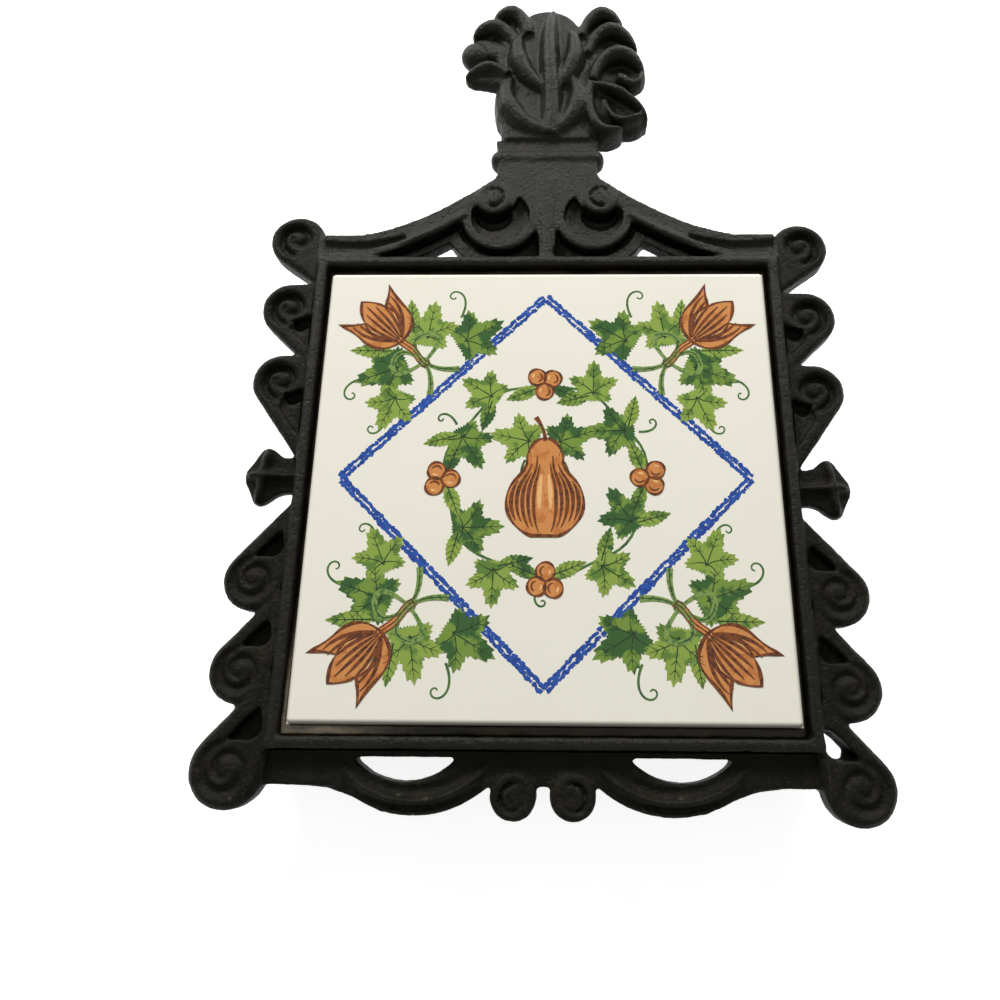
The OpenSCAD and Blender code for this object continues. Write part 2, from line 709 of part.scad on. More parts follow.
// Each leaf: four points of its curve, as shares of the crest's half width and length from the neck,
// then its half widths at root, middle and tip, and its ridge's heights there, as shares
RIGHT_ROOT_SHARES = [
    [[[0.33, 0.36], [0.52, 0.24], [0.72, 0.18], [0.98, 0.18]], [0.10, 0.19, 0.165], [0.1, -0.2, -0.3]],
    [[[0.42, 0.37], [0.62, 0.37], [0.84, 0.28], [0.985, 0.14]], [0.05, 0.06, 0.045], [0.8, 1.1, 0.7]],
    [[[0.57, 0.30], [0.60, 0.12], [0.78, 0.10], [0.96, 0.17]], [0.04, 0.055, 0.055], [0.1, 0.3, 0.8]],
    [[[0.42, 0.38], [0.38, 0.12], [0.46, 0.00], [0.74, 0.075]], [0.06, 0.085, 0.05], [1.0, 0.8, 0.5]]
];
RIGHT_LOBE_SHARES = [
    [[[0.40, 0.42], [0.58, 0.50], [0.75, 0.51], [0.93, 0.49]], [0.10, 0.14, 0.10], [0.0, -0.4, -0.5]],
    [[[0.45, 0.42], [0.52, 0.65], [0.84, 0.70], [0.965, 0.47]], [0.06, 0.10, 0.06], [0.6, 1.1, 0.6]],
    [[[0.94, 0.47], [0.93, 0.37], [0.76, 0.38], [0.71, 0.47]], [0.05, 0.06, 0.065], [0.4, 0.5, 0.7]],
    [[[0.38, 0.64], [0.52, 0.70], [0.68, 0.71], [0.83, 0.68]], [0.10, 0.12, 0.10], [0.0, -0.4, -0.5]],
    [[[0.40, 0.62], [0.48, 0.84], [0.74, 0.88], [0.90, 0.665]], [0.06, 0.09, 0.055], [0.6, 1.0, 0.4]],
    [[[0.30, 0.78], [0.42, 0.86], [0.56, 0.87], [0.71, 0.84]], [0.10, 0.11, 0.08], [0.0, -0.3, -0.4]],
    [[[0.34, 0.76], [0.42, 0.96], [0.64, 1.00], [0.76, 0.83]], [0.06, 0.09, 0.06], [0.6, 1.0, 0.4]]
];
LEFT_LOBE_SHARES = [
    [[[0.36, 0.42], [0.55, 0.46], [0.68, 0.47], [0.82, 0.455]], [0.10, 0.085, 0.065], [0.2, 0.0, -0.3]],
    [[[0.40, 0.46], [0.52, 0.54], [0.70, 0.54], [0.83, 0.46]], [0.06, 0.07, 0.045], [0.7, 0.9, 0.1]],
    [[[0.38, 0.64], [0.48, 0.68], [0.58, 0.70], [0.74, 0.74]], [0.12, 0.13, 0.10], [0.2, 0.1, 0.0]],
    [[[0.30, 0.68], [0.42, 0.86], [0.64, 0.90], [0.765, 0.775]], [0.08, 0.09, 0.06], [0.6, 0.9, 0.3]],
    [[[0.20, 0.78], [0.24, 0.96], [0.44, 1.01], [0.56, 0.88]], [0.08, 0.09, 0.06], [0.6, 1.0, 0.5]]
];
MIDDLE_LEAF_SHARES = [
    [[[0.08, 0.06], [0.30, 0.14], [0.38, 0.28], [0.24, 0.44]], [0.10, 0.14, 0.08], [0.5, 1.2, 0.9]],
    [[[-0.04, 0.06], [-0.34, 0.10], [-0.52, 0.28], [-0.36, 0.44]], [0.10, 0.15, 0.08], [0.5, 1.2, 0.9]],
    [[[0.06, 0.36], [0.28, 0.48], [0.34, 0.64], [0.22, 0.80]], [0.10, 0.13, 0.07], [0.7, 1.3, 0.9]],
    [[[-0.04, 0.36], [-0.28, 0.46], [-0.38, 0.62], [-0.26, 0.78]], [0.10, 0.13, 0.07], [0.7, 1.3, 0.9]]
];
MIDDLE_RIB_SHARES = [[[0.02, 0.02], [0.10, 0.34], [-0.06, 0.66], [0.06, 0.97]], [0.14, 0.12, 0.09],
    [0.4, 1, 0.6]];
BERRY_SHARES = [-0.74, 0.635];
BERRY_R_SHARE = 0.15;

function curve_point(c, t) = pow(1 - t, 3) * c[0] + 3 * t * pow(1 - t, 2) * c[1]
    + 3 * t * t * (1 - t) * c[2] + t * t * t * c[3];
function between(list, t) = t < 0.5 ? list[0] + (list[1] - list[0]) * 2 * t
    : list[1] + (list[2] - list[1]) * (2 * t - 1);

// Steps along a leaf, closer towards its tip
LEAF_STEPS = 10;
leaf_times = [for (i = [0:LEAF_STEPS]) 1 - pow(1 - i / LEAF_STEPS, 1.4)];

module leaf(shares, rise, low_z) {
    path = [for (t = leaf_times) let (p = curve_point(shares[0], t))
        [p.x * crest_half_w, crest_y + p.y * crest_len]];
    widths = [for (t = leaf_times) crest_half_w * between(shares[1], t)
        * (t < 0.75 ? 1 : sqrt(max(1 - pow((t - 0.75) / 0.26, 2), 0.01)))];
    crowns = [for (t = leaf_times) crest_z + rise * between(shares[2], t)
        * (t < 0.8 ? 1 : 1 - 0.6 * pow((t - 0.8) / 0.2, 2))];
    sweep(path, widths, low_z, crowns, LEAF_SHARES);
}

// Flat body that the leaves spring from
BODY_SHARES = [[[0, 0.06], 0.46], [[0.04, 0.3], 0.52], [[0, 0.6], 0.54], [[0, 0.8], 0.34]];

module crest_body() {
    for (i = [0:len(BODY_SHARES) - 2]) {
        hull() for (s = [BODY_SHARES[i], BODY_SHARES[i + 1]]) {
            translate([s[0].x * crest_half_w, crest_y + s[0].y * crest_len, 0])
                cushion(s[1] * crest_half_w, pediment_z, crest_z, crest_thick * 0.2);
        }
    }
}

// Smooth round lobe on the left side
module berry(low_z) {
    r = BERRY_R_SHARE * crest_half_w;
    h = crest_z + leaf_rise * 0.75 - low_z;
    dome = [for (a = [0:15:90]) [r * cos(a), h * (0.35 + 0.65 * sin(a))]];
    translate([BERRY_SHARES.x * crest_half_w, crest_y + BERRY_SHARES.y * crest_len, low_z])
        rotate_extrude($fn = 28) polygon(concat([[0, 0], [r * 0.85, 0]], dome));
}

module crest() {
    lobe_low_z = crest_z - crest_thick / 2;
    color(IRON) placed() difference() {
        union() {
            crest_body();
            for (shares = RIGHT_ROOT_SHARES) leaf(shares, leaf_rise, pediment_z);
            for (shares = RIGHT_LOBE_SHARES) leaf(shares, leaf_rise, lobe_low_z);
            for (shares = MIDDLE_LEAF_SHARES) leaf(shares, leaf_rise, pediment_z);
            leaf(MIDDLE_RIB_SHARES, rib_rise, pediment_z);
            mirror([1, 0, 0]) for (shares = LEFT_LOBE_SHARES) leaf(shares, leaf_rise, lobe_low_z);
            berry(lobe_low_z);
        }
        translate([-2 * crest_half_w, crest_y - crest_len, pediment_z - overrun])
            cube([4 * crest_half_w, crest_len, 3 * crest_thick]);
    }
}

// Apron

module apron_half() {
    rim_y = -tray_out.y;
    window_top = rim_y - rim_w * 0.6;
    window_r = (window_half_len * window_half_len + window_h * window_h) / (2 * window_h);
    difference() {
        union() {
            layer(apron_low_z, apron_z) translate([0, rim_y - apron_h]) square([tray_out.x, apron_h]);
            layer(apron_low_z, apron_z - apron_thick * 0.16) swag_plate(rim_y);
            swag_moulding();
            translate(apron_curl_at)
                boss(apron_curl_r, apron_low_z, apron_z + bead_lift * 2, apron_curl_r * 0.16);
        }
        layer(apron_low_z - overrun, apron_z + overrun) intersection() {
            translate([window_x, window_top - window_h + window_r]) circle(r = window_r);
            translate([0, rim_y - swag_h]) square([tray_out.x, window_top - rim_y + swag_h]);
        }
        translate(concat(apron_curl_at, apron_z + bead_lift * 2)) mirror([0, 1, 0])
            small_groove(apron_curl_r, 1);
        translate([-overrun, rim_y, apron_low_z - overrun]) cube([2 * tray_out.x, apron_h, 3 * apron_thick]);
    }
}

// Flat plate behind a swag, with a long run-out towards the corner
module swag_plate(rim_y) {
    intersection() {
        translate([swag_x, swag_y]) circle(r = swag_edge_r, $fn = 120);
        translate([0, rim_y - swag_h]) square([tray_out.x, swag_h]);
    }
    polygon([[swag_x, rim_y - apron_h], [swag_x + swag_half_len * 0.4, rim_y - swag_h + swag_sag * 0.1],
        [swag_x + swag_half_len * 0.8, rim_y - apron_h - swag_sag * 0.4],
        [swag_x + swag_half_len * 1.15, rim_y - apron_h - swag_sag * 0.1],
        [swag_x + swag_half_len * 1.5, rim_y - apron_h]]);
}

// Ridged moulding that hangs in an arc under each window
module swag_moulding() {
    half_w = swag_sag * 0.52;
    r = swag_edge_r - half_w;
    half_angle = asin(swag_half_len * 1.06 / r);
    steps = 12;
    path = [for (i = [0:steps]) let (a = -90 - half_angle + 2 * half_angle * i / steps)
        [swag_x + r * cos(a), swag_y + r * sin(a)]];
    widths = [for (i = [0:steps]) half_w * (0.25 + 0.75 * sin(180 * i / steps))];
    crowns = [for (i = [0:steps]) apron_z + bead_lift * (0.3 + 2.2 * sin(180 * i / steps))];
    sweep(path, widths, apron_low_z, crowns, LEAF_SHARES);
}

module apron() {
    color(IRON) placed() difference() {
        for (side = [0, 1]) {
            mirror([side, 0, 0]) apron_half();
        }
        corner_cut(1, right_bud_y - lower_curl[curls_a_side - 1], right_lean, right_corner_r);
        corner_cut(-1, left_bud_y - lower_curl[curls_a_side - 1], left_lean, left_corner_r);
    }
}

tray();
feet();
tile();
adhesive_bed();
adhesive_bead();
left_scrollwork();
right_scrollwork();
pediment();
neck();
crest();
apron();
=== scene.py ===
# Tile trivet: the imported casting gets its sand-cast skin, the tile its glaze and printed design,
# and the adhesive its lumpy bead. Lengths are in metres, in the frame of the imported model.
import math
import random

import bpy
import numpy as np
from mathutils import Euler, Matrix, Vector


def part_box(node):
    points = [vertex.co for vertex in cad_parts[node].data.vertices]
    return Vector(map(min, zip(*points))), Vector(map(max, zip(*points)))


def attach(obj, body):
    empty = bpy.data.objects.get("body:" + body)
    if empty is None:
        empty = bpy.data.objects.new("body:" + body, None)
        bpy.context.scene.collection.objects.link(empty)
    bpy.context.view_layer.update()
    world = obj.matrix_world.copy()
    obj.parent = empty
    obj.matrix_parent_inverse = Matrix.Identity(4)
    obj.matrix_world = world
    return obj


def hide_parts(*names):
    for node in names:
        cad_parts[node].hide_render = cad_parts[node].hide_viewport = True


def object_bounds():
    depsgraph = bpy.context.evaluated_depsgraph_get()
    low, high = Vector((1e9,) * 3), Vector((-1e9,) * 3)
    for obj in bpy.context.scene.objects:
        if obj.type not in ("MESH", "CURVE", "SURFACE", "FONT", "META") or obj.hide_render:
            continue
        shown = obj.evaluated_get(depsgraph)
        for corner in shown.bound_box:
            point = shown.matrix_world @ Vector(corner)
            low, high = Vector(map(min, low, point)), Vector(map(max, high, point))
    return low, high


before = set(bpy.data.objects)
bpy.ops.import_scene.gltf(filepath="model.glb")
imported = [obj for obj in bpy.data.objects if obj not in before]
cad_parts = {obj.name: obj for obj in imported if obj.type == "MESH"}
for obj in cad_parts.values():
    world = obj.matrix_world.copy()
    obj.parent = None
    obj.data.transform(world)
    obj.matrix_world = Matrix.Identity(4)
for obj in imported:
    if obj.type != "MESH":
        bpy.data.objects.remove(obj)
cad_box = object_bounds()

MM = 0.001
rng = random.Random(7)
bpy.ops.object.select_all(action="DESELECT")

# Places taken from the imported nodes

tile_low, tile_high = (Vector(corner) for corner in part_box("tile"))
tray_low, tray_high = (Vector(corner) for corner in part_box("tray"))
neck_low, neck_high = (Vector(corner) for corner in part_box("neck"))
apron_high = Vector(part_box("apron")[1])
tile_mid = (tile_low + tile_high) / 2
GLAZE_Z = tile_high.z
IRON_NODES = ("tray", "feet", "left_scrollwork", "right_scrollwork", "pediment", "neck", "crest",
    "apron")


# Shader maths as expressions

class Sock:
    """A socket that adds a Math node for each arithmetic operator."""

    def __init__(self, tree, link):
        self.tree = tree
        self.link = link

    def maths(self, operation, *others):
        """A Math node with this socket and the others as its inputs."""
        node = self.tree.nodes.new("ShaderNodeMath")
        node.operation = operation
        for slot, value in enumerate((self,) + others):
            plug(self.tree, node.inputs[slot], value)
        return Sock(self.tree, node.outputs[0])

    def __add__(self, other):
        return self.maths("ADD", other)

    __radd__ = __add__

    def __mul__(self, other):
        return self.maths("MULTIPLY", other)

    def __sub__(self, other):
        return self.maths("SUBTRACT", other)

    def __rsub__(self, other):
        return (self * -1.0) + other


def plug(tree, socket, value):
    """Link a Sock to a socket, or set the socket to a plain value."""
    if isinstance(value, Sock):
        tree.links.new(value.link, socket)
    elif isinstance(value, tuple) and len(value) == 3 and socket.type == "RGBA":
        socket.default_value = value + (1.0,)
    else:
        socket.default_value = value


class Shader:
    """A material with one Principled BSDF, and a method that adds any other node."""

    def __init__(self, name):
        self.material = bpy.data.materials.new(name)
        self.material.use_nodes = True
        self.tree = self.material.node_tree
        self.bsdf = self.tree.nodes["Principled BSDF"]
        self.here = self.node("ShaderNodeTexCoord", out="Object")

    def node(self, kind, settings=None, sockets=None, out=0, ramp=None):
        """Add a node, set its settings, sockets and colour ramp, and return one output."""
        made = self.tree.nodes.new(kind)
        for key, value in (settings or {}).items():
            setattr(made, key, value)
        if ramp:
            stops = made.color_ramp.elements
            while len(stops) < len(ramp):
                stops.new(0.5)
            for stop, (place, tone) in zip(stops, ramp):
                stop.position = place
                stop.color = tone + (1.0,)
        for key, value in (sockets or {}).items():
            plug(self.tree, made.inputs[key], value)
        return Sock(self.tree, made.outputs[out])

    def noise(self, size, detail=4.0, rough=0.55):
        """Noise whose blots are about size metres wide."""
        return self.node("ShaderNodeTexNoise", None, {"Vector": self.here, "Scale": 1.0 / size,
            "Detail": detail, "Roughness": rough})

    def grains(self, size):
        """Distance to the nearest of scattered points about size metres apart."""
        return self.node("ShaderNodeTexVoronoi", None, {"Vector": self.here, "Scale": 1.0 / size},
            out="Distance")

    def steps(self, value, ramp):
        """A colour read off a ramp of places and colours."""
        return self.node("ShaderNodeValToRGB", None, {"Fac": value}, ramp=ramp, out="Color")

    def level(self, value, low, high):
        """0 where value is under low, 1 where it is over high."""
        return self.node("ShaderNodeMapRange", {"clamp": True},
            {"Value": value, "From Min": low, "From Max": high}, out="Result")

    def mix(self, mask, first, second):
        """The first colour where mask is 0, the second where it is 1."""
        return self.node("ShaderNodeMix", {"data_type": "RGBA"}, {0: mask, 6: first, 7: second}, out=2)

    def bump(self, height, distance, strength):
        return self.node("ShaderNodeBump", None, {"Height": height, "Distance": distance,
            "Strength": strength}, out="Normal")

    def facing(self, direction):
        """How far a face looks along one axis, from -1 to 1."""
        normal = self.node("ShaderNodeNewGeometry", out="Normal")
        return self.node("ShaderNodeVectorMath", {"operation": "DOT_PRODUCT"},
            {0: normal, 1: direction}, out="Value")

    def finish(self, **sockets):
        """Set the shader's own sockets, named with underscores for spaces."""
        for key, value in sockets.items():
            plug(self.tree, self.bsdf.inputs[key.replace("_", " ")], value)
        return self.material


# The blacking's darkest, middle and lightest colour; the grey of dust in its grain, which also stands
# for painted light on faces turned up toward the lamps; and the grey of rubbed edges, which is partly
# painted edge highlight
BLACKING = ((0.0032, 0.0030, 0.0022), (0.0080, 0.0076, 0.0056), (0.0180, 0.0168, 0.0122))
DUST_AND_LIGHT_GREY = (0.042, 0.039, 0.030)
WORN_AND_HIGHLIT_IRON = (0.066, 0.062, 0.050)
IRON_SHINE_TINT = (1.0, 0.97, 0.84)


def sand_cast_iron(name, sheen, paleness):
    """Black iron with the pitted skin of a sand mould, a thin blacking, grey dust and painted light on
    faces turned up toward the lamps, and rubbed edges lightened partly as painted edge highlights.
    """
    s = Shader(name)
    darkest, middle, lightest = (tuple(c * paleness for c in tone) for tone in BLACKING)
    broad = s.noise(16 * MM, 3.0)
    blotch = s.noise(3.0 * MM, 5.0, 0.6)
    sand = s.noise(0.5 * MM, 4.0, 0.75)
    speck = s.level(s.noise(0.9 * MM, 2.0, 0.5), 0.62, 0.74)
    pits = s.level(s.grains(1.3 * MM), 0.12, 0.42)
    tone = s.steps(broad * 0.45 + blotch * 0.55, [(0.3, darkest), (0.5, middle), (0.72, lightest)])
    # Faces that look up and toward the lamps turn grey: partly dust, partly painted light
    up_and_lampward = s.level(s.facing((0.0, 0.3, 0.95)), 0.25, 0.95)
    # Sharp edges turn lighter grey: partly rubbed blacking, partly painted edge highlight
    worn_and_highlit_edges = s.level(s.node("ShaderNodeNewGeometry", out="Pointiness"), 0.52, 0.60)
    dust_and_lit_tops = s.level(sand, 0.5, 0.72) * up_and_lampward
    dusted_and_lit = s.mix((dust_and_lit_tops * 0.4 + speck * up_and_lampward * 0.25) * paleness, tone, DUST_AND_LIGHT_GREY)
    colour = s.mix(worn_and_highlit_edges * 0.4, dusted_and_lit, WORN_AND_HIGHLIT_IRON)
    height = sand * 0.6 + pits * 0.35 + blotch * 0.7 + speck * 0.4
    return s.finish(Base_Color=colour, Roughness=0.20 + blotch * 0.26 + sand * 0.12, Metallic=0.0,
        Specular_IOR_Level=sheen, Specular_Tint=IRON_SHINE_TINT,
        Normal=s.bump(height, 0.28 * MM, 0.95))


def tile_glaze():
    """Off-white glaze with faint ripples, a few pinholes and a thinner, warmer edge."""
    s = Shader("tile_glaze")
    cloud = s.noise(30 * MM, 2.0)
    fleck = s.level(s.grains(7 * MM), 0.0, 0.022)
    warm = s.mix(cloud, (0.83, 0.80, 0.675), (0.87, 0.845, 0.73))
    under = s.level(s.facing((0.0, 0.0, 1.0)), 0.35, 0.98)
    edged = s.mix(under, (0.66, 0.61, 0.49), warm)
    colour = s.mix(fleck, (0.33, 0.27, 0.19), edged)
    ripple = s.noise(5 * MM, 2.0, 0.4)
    return s.finish(Base_Color=colour, Roughness=0.10 + cloud * 0.06, Coat_Weight=0.4,
        Coat_Roughness=0.04, Specular_IOR_Level=0.35,
        Normal=s.bump(ripple + fleck * 0.2, 0.05 * MM, 0.5))


def old_adhesive():
    """Hardened adhesive: brown olive with trapped dirt, clear and glossy at the lower left."""
    s = Shader("old_adhesive")
    run = s.noise(9 * MM, 4.0, 0.6)
    dirt = s.noise(0.9 * MM, 5.0, 0.65)
    body = s.steps(run, [(0.34, (0.0060, 0.0042, 0.0014)), (0.52, (0.0150, 0.0115, 0.0040)),
        (0.68, (0.036, 0.029, 0.011))])
    apart = s.node("ShaderNodeVectorMath", {"operation": "DISTANCE"}, {0: s.here,
        1: (tile_low.x, tile_low.y, GLAZE_Z)}, out="Value")
    clear = s.level(apart * -1.0 + run * 22 * MM, -16 * MM, 2 * MM)
    lit = s.mix(clear * 0.85, body, (0.125, 0.098, 0.055))
    colour = s.mix(s.level(dirt, 0.52, 0.75), lit, (0.0045, 0.0040, 0.0020))
    return s.finish(Base_Color=colour, Roughness=0.34 - clear * 0.22 + dirt * 0.2,
        Coat_Weight=clear * 0.6, Coat_Roughness=0.06, Specular_IOR_Level=0.22,
        Normal=s.bump(run * 0.8 + dirt * 0.3, 0.4 * MM, 0.9))


def printing_ink(name, light, dark, blot, share=0.5):
    """Ink under the glaze: dark where blots about blot metres wide cover a share of the light."""
    s = Shader(name)
    wash = s.noise(blot, 3.0, 0.5)
    grain = s.noise(0.3 * MM, 3.0, 0.6)
    middle = 0.68 - 0.3 * share
    covered = s.level(wash + (grain - 0.5) * 0.16, middle - 0.035, middle + 0.035)
    colour = s.mix(grain * 0.22, s.mix(covered, light, dark), dark)
    return s.finish(Base_Color=colour, Roughness=0.14 + grain * 0.08, Coat_Weight=0.1,
        Coat_Roughness=0.05, Specular_IOR_Level=0.25, Normal=s.bump(grain, 0.01 * MM, 0.4))


# Mesh helpers

def only(obj):
    """Select one object alone and make it the active one."""
    bpy.ops.object.select_all(action="DESELECT")
    obj.select_set(True)
    bpy.context.view_layer.objects.active = obj


def apply_modifier(obj, kind, **settings):
    only(obj)
    modifier = obj.modifiers.new(kind.lower(), kind)
    for key, value in settings.items():
        setattr(modifier, key, value)
    bpy.ops.object.modifier_apply(modifier=modifier.name)


def merged_copy(name, nodes):
    """One object with copies of the nodes' meshes, their loose triangles merged."""
    copies = []
    for node in nodes:
        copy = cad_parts[node].copy()
        copy.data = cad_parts[node].data.copy()
        bpy.context.scene.collection.objects.link(copy)
        copies.append(copy)
    bpy.ops.object.select_all(action="DESELECT")
    for copy in copies:
        copy.select_set(True)
    bpy.context.view_layer.objects.active = copies[0]
    bpy.ops.object.join()
    made = bpy.context.object
    made.name = name
    bpy.ops.object.mode_set(mode="EDIT")
    bpy.ops.mesh.select_all(action="SELECT")
    bpy.ops.mesh.remove_doubles(threshold=0.002 * MM)
    bpy.ops.object.mode_set(mode="OBJECT")
    return made


def clouds(name, size, depth):
    """A lumpy texture to displace a skin with."""
    texture = bpy.data.textures.new(name, "CLOUDS")
    texture.noise_scale = size
    texture.noise_depth = depth
    return texture


def places(obj):
    """The mesh's vertices as an array with a row each."""
    points = np.empty(len(obj.data.vertices) * 3)
    obj.data.vertices.foreach_get("co", points)
    return points.reshape(-1, 3)


def put(obj, points):
    """Move the mesh's vertices to the rows of an array."""
    obj.data.vertices.foreach_set("co", points.ravel())
    obj.data.update()


def cut(obj, point, normal):
    """Keep what lies behind a plane and close the cut."""
    only(obj)
    bpy.ops.object.mode_set(mode="EDIT")
    bpy.ops.mesh.select_all(action="SELECT")
    bpy.ops.mesh.bisect(plane_co=point, plane_no=normal, use_fill=True, clear_outer=True)
    bpy.ops.object.mode_set(mode="OBJECT")


def dress(obj, material):
    """Give a piece its only material and its slot, and fix it to the body."""
    obj.data.materials.clear()
    obj.data.materials.append(material)
    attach(obj, "root")


# The casting: all the iron is remeshed as one skin, so that its parts flow into one another as
# poured metal does, and is then cut into pieces along the nodes' seams

VOXEL = 0.36 * MM
SKIN_SMOOTHING = 4
# The scrolls beside the tray are rounder than the rest
SCROLL_SMOOTHING = 5
SCROLLS_OFF_TRAY = 0.5 * MM
# Size and height of the lumps and of the sand grain that the mould left on the skin
MOULD_LUMPS = (4.5 * MM, 0.25 * MM)
MOULD_SAND = (0.8 * MM, 0.13 * MM)
# The cuts lie this far off the plain faces, so that they meet only the stems that cross them
SEAM_OFF = 0.3 * MM
# Pieces that hands have rubbed to a sheen
POLISHED = ("rim_casting", "pediment_casting", "neck_casting", "crest_casting")


# The volutes: the line of the valley that winds into an upper and a lower curl, as angle in
# degrees, radius as a share of the curl's, depth in millimetres and half width as such a share
UPPER_VALLEY = np.array([(266, 0.76, 1.0, 0.12), (300, 0.63, 1.6, 0.12), (360, 0.53, 2.1, 0.12),
    (450, 0.45, 2.2, 0.13), (540, 0.43, 1.5, 0.12), (630, 0.26, 0.8, 0.09), (720, 0.14, 0.7, 0.07),
    (765, 0.08, 0.2, 0.07)])
LOWER_VALLEY = np.array([(262, 0.76, 0.2, 0.10), (290, 0.68, 0.8, 0.13), (360, 0.60, 1.2, 0.14),
    (450, 0.53, 1.0, 0.13), (540, 0.46, 0.9, 0.12), (630, 0.39, 1.2, 0.11), (720, 0.28, 1.1, 0.10),
    (810, 0.19, 0.7, 0.08), (880, 0.12, 0.2, 0.07)])
# Side, height of its bud over the tile's middle, outward lean and radius of its lowest curl
SCROLL_SIDES = ((1, -1.7, 0.6, 7.4), (-1, 1.1, 1.6, 8.0))
SCROLL_TOP = 17.7
# The curls' radius, their centres' distance from the tile's middle and from one another, and how
# far the first ones lie above and below the bud
CURL_R = 7.0
CURL_OUT = 64.0
CURL_PITCH = 19.8
FIRST_UPPER = 23.8
FIRST_LOWER = 24.5
# The one curl whose gap runs right through: side times way times radius
OPEN_CURL = -7.4
# A curl's face: the share of its radius where it ends, the width of the blend there, its depth,
# how high it swells and how fast that fades outwards
FACE_END, FACE_BLEND, FACE_DEPTH, FACE_SWELL, SWELL_FADE = 0.80, 0.08, 2.3, 0.25, 1.4
# Depth of the gap beside the tail of an upper and of a lower curl, and the box that holds it, its
# low and high x and y as shares of the curl's radius
UPPER_GAP = (2.6, -0.86, -0.12, -0.92, -0.36)
LOWER_GAP = (3.0, -1.0, 0.1, -1.6, -0.68)
# How far under the scrolls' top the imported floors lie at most
GAP_FLOOR = 4.6

# Middle, outer radius and half length of the apron's swags in millimetres, and the section across
# one: distance from its outer edge and height over the apron's face
SWAG = (26.9, -47.9, 23.9, 15.6)
SWAG_SECTION = [(0.6, -1.7), (1.6, -0.9), (2.4, 0.5), (2.9, 1.15), (3.3, 0.85), (4.0, -0.25),
    (4.8, -0.6), (5.6, -0.45), (6.3, 0.0)]
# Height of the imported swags' crown over that face, and how far under the face the section reaches
SWAG_CROWN = 1.5
SWAG_DEPTH = 2.5


def curls():
    """Each curl's side, way up, centre from the middle of the tile and radius, in millimetres."""
    for side, bud_y, lean, corner_r in SCROLL_SIDES:
        for i in range(3):
            r = corner_r if i == 2 else CURL_R
            yield side, 1, side * CURL_OUT, bud_y + FIRST_UPPER + CURL_PITCH * i, CURL_R
            out = CURL_OUT + lean * (i + 1) / 3
            yield side, -1, side * out, bud_y - FIRST_LOWER - CURL_PITCH * i, r


def valley(x, y, table):
    """Depth under the curl's top at places given in shares of its radius."""
    d = np.hypot(x, y)
    angle = np.degrees(np.arctan2(y, x)) % 360
    deep = np.zeros_like(d)
    for turn in range(3):
        a = angle + 360 * turn
        radius, depth, half = (np.interp(a, table[:, 0], column, left=0, right=0)
            for column in table[:, 1:].T)
        deep = np.maximum(deep, depth * np.exp(-((d - radius) / np.maximum(half, 0.01)) ** 2))
    return deep


def mould_swags(points):
    """Give the two swags a sharp ridge with a hollow over it."""
    apron_face = apron_high.z / MM - SWAG_CROWN
    middle_x, middle_y, outer, half = SWAG
    x = np.abs((points[:, 0] - tile_mid.x) / MM) - middle_x
    y = (points[:, 1] - tile_mid.y) / MM - middle_y
    z = points[:, 2] / MM
    inward = outer - np.hypot(x, y)
    first, last = SWAG_SECTION[0][0], SWAG_SECTION[-1][0]
    along = np.clip((1 - np.abs(x) / half) / 0.45, 0, 1)
    across = np.clip((inward - first) / 0.6, 0, 1) * np.clip((last - inward) / 0.5, 0, 1)
    face = apron_face + np.interp(inward, *zip(*SWAG_SECTION))
    moulded = z + (face - z) * along * across * (y < 0)
    points[:, 2] = np.where(z > apron_face - SWAG_DEPTH, moulded, z) * MM


def mould_volutes(points):
    """Turn the curls' plain faces into soft volutes, and raise the floors of their gaps."""
    for side, way, cx, cy, r in curls():
        x = side * ((points[:, 0] - tile_mid.x) / MM - cx) / r
        y = way * ((points[:, 1] - tile_mid.y) / MM - cy) / r
        z = points[:, 2] / MM
        d = np.hypot(x, y)
        table = UPPER_VALLEY if way > 0 else LOWER_VALLEY
        share = np.clip((FACE_END - d) / FACE_BLEND, 0, 1) * (z > SCROLL_TOP - FACE_DEPTH)
        swell = FACE_SWELL * np.cos(np.clip(d, 0, 1) * SWELL_FADE)
        face = SCROLL_TOP - 0.1 + swell - valley(x, y, table)
        z = z + (face - z) * share
        depth, x0, x1, y0, y1 = UPPER_GAP if way > 0 else LOWER_GAP
        floor = SCROLL_TOP - depth
        sunk = (x > x0) & (x < x1) & (y > y0) & (y < y1) & (z > SCROLL_TOP - GAP_FLOOR) & (z < floor)
        points[:, 2] = np.where(sunk & (side * way * r != OPEN_CURL), floor, z) * MM


def poured_skin():
    """The iron's skin: one closed mesh, moulded, rounded and rough, inside the CAD box."""
    low_x, high_x = tray_low.x - SCROLLS_OFF_TRAY, tray_high.x + SCROLLS_OFF_TRAY
    skin = merged_copy("casting", IRON_NODES)
    apply_modifier(skin, "REMESH", mode="VOXEL", voxel_size=VOXEL)
    points = places(skin)
    mould_volutes(points)
    mould_swags(points)
    put(skin, points)
    apply_modifier(skin, "REMESH", mode="VOXEL", voxel_size=VOXEL)
    apply_modifier(skin, "SMOOTH", factor=0.5, iterations=SKIN_SMOOTHING)
    outside = [v.index for v in skin.data.vertices if not low_x < v.co.x < high_x]
    skin.vertex_groups.new(name="scrolls").add(outside, 1.0, "REPLACE")
    apply_modifier(skin, "SMOOTH", factor=0.5, iterations=SCROLL_SMOOTHING, vertex_group="scrolls")
    for name, (size, height) in (("mould_lumps", MOULD_LUMPS), ("mould_sand", MOULD_SAND)):
        apply_modifier(skin, "DISPLACE", texture=clouds(name, size, 2), strength=height,
            mid_level=0.5, texture_coords="LOCAL")
    put(skin, np.clip(places(skin), np.array(cad_box[0]), np.array(cad_box[1])))
    return skin


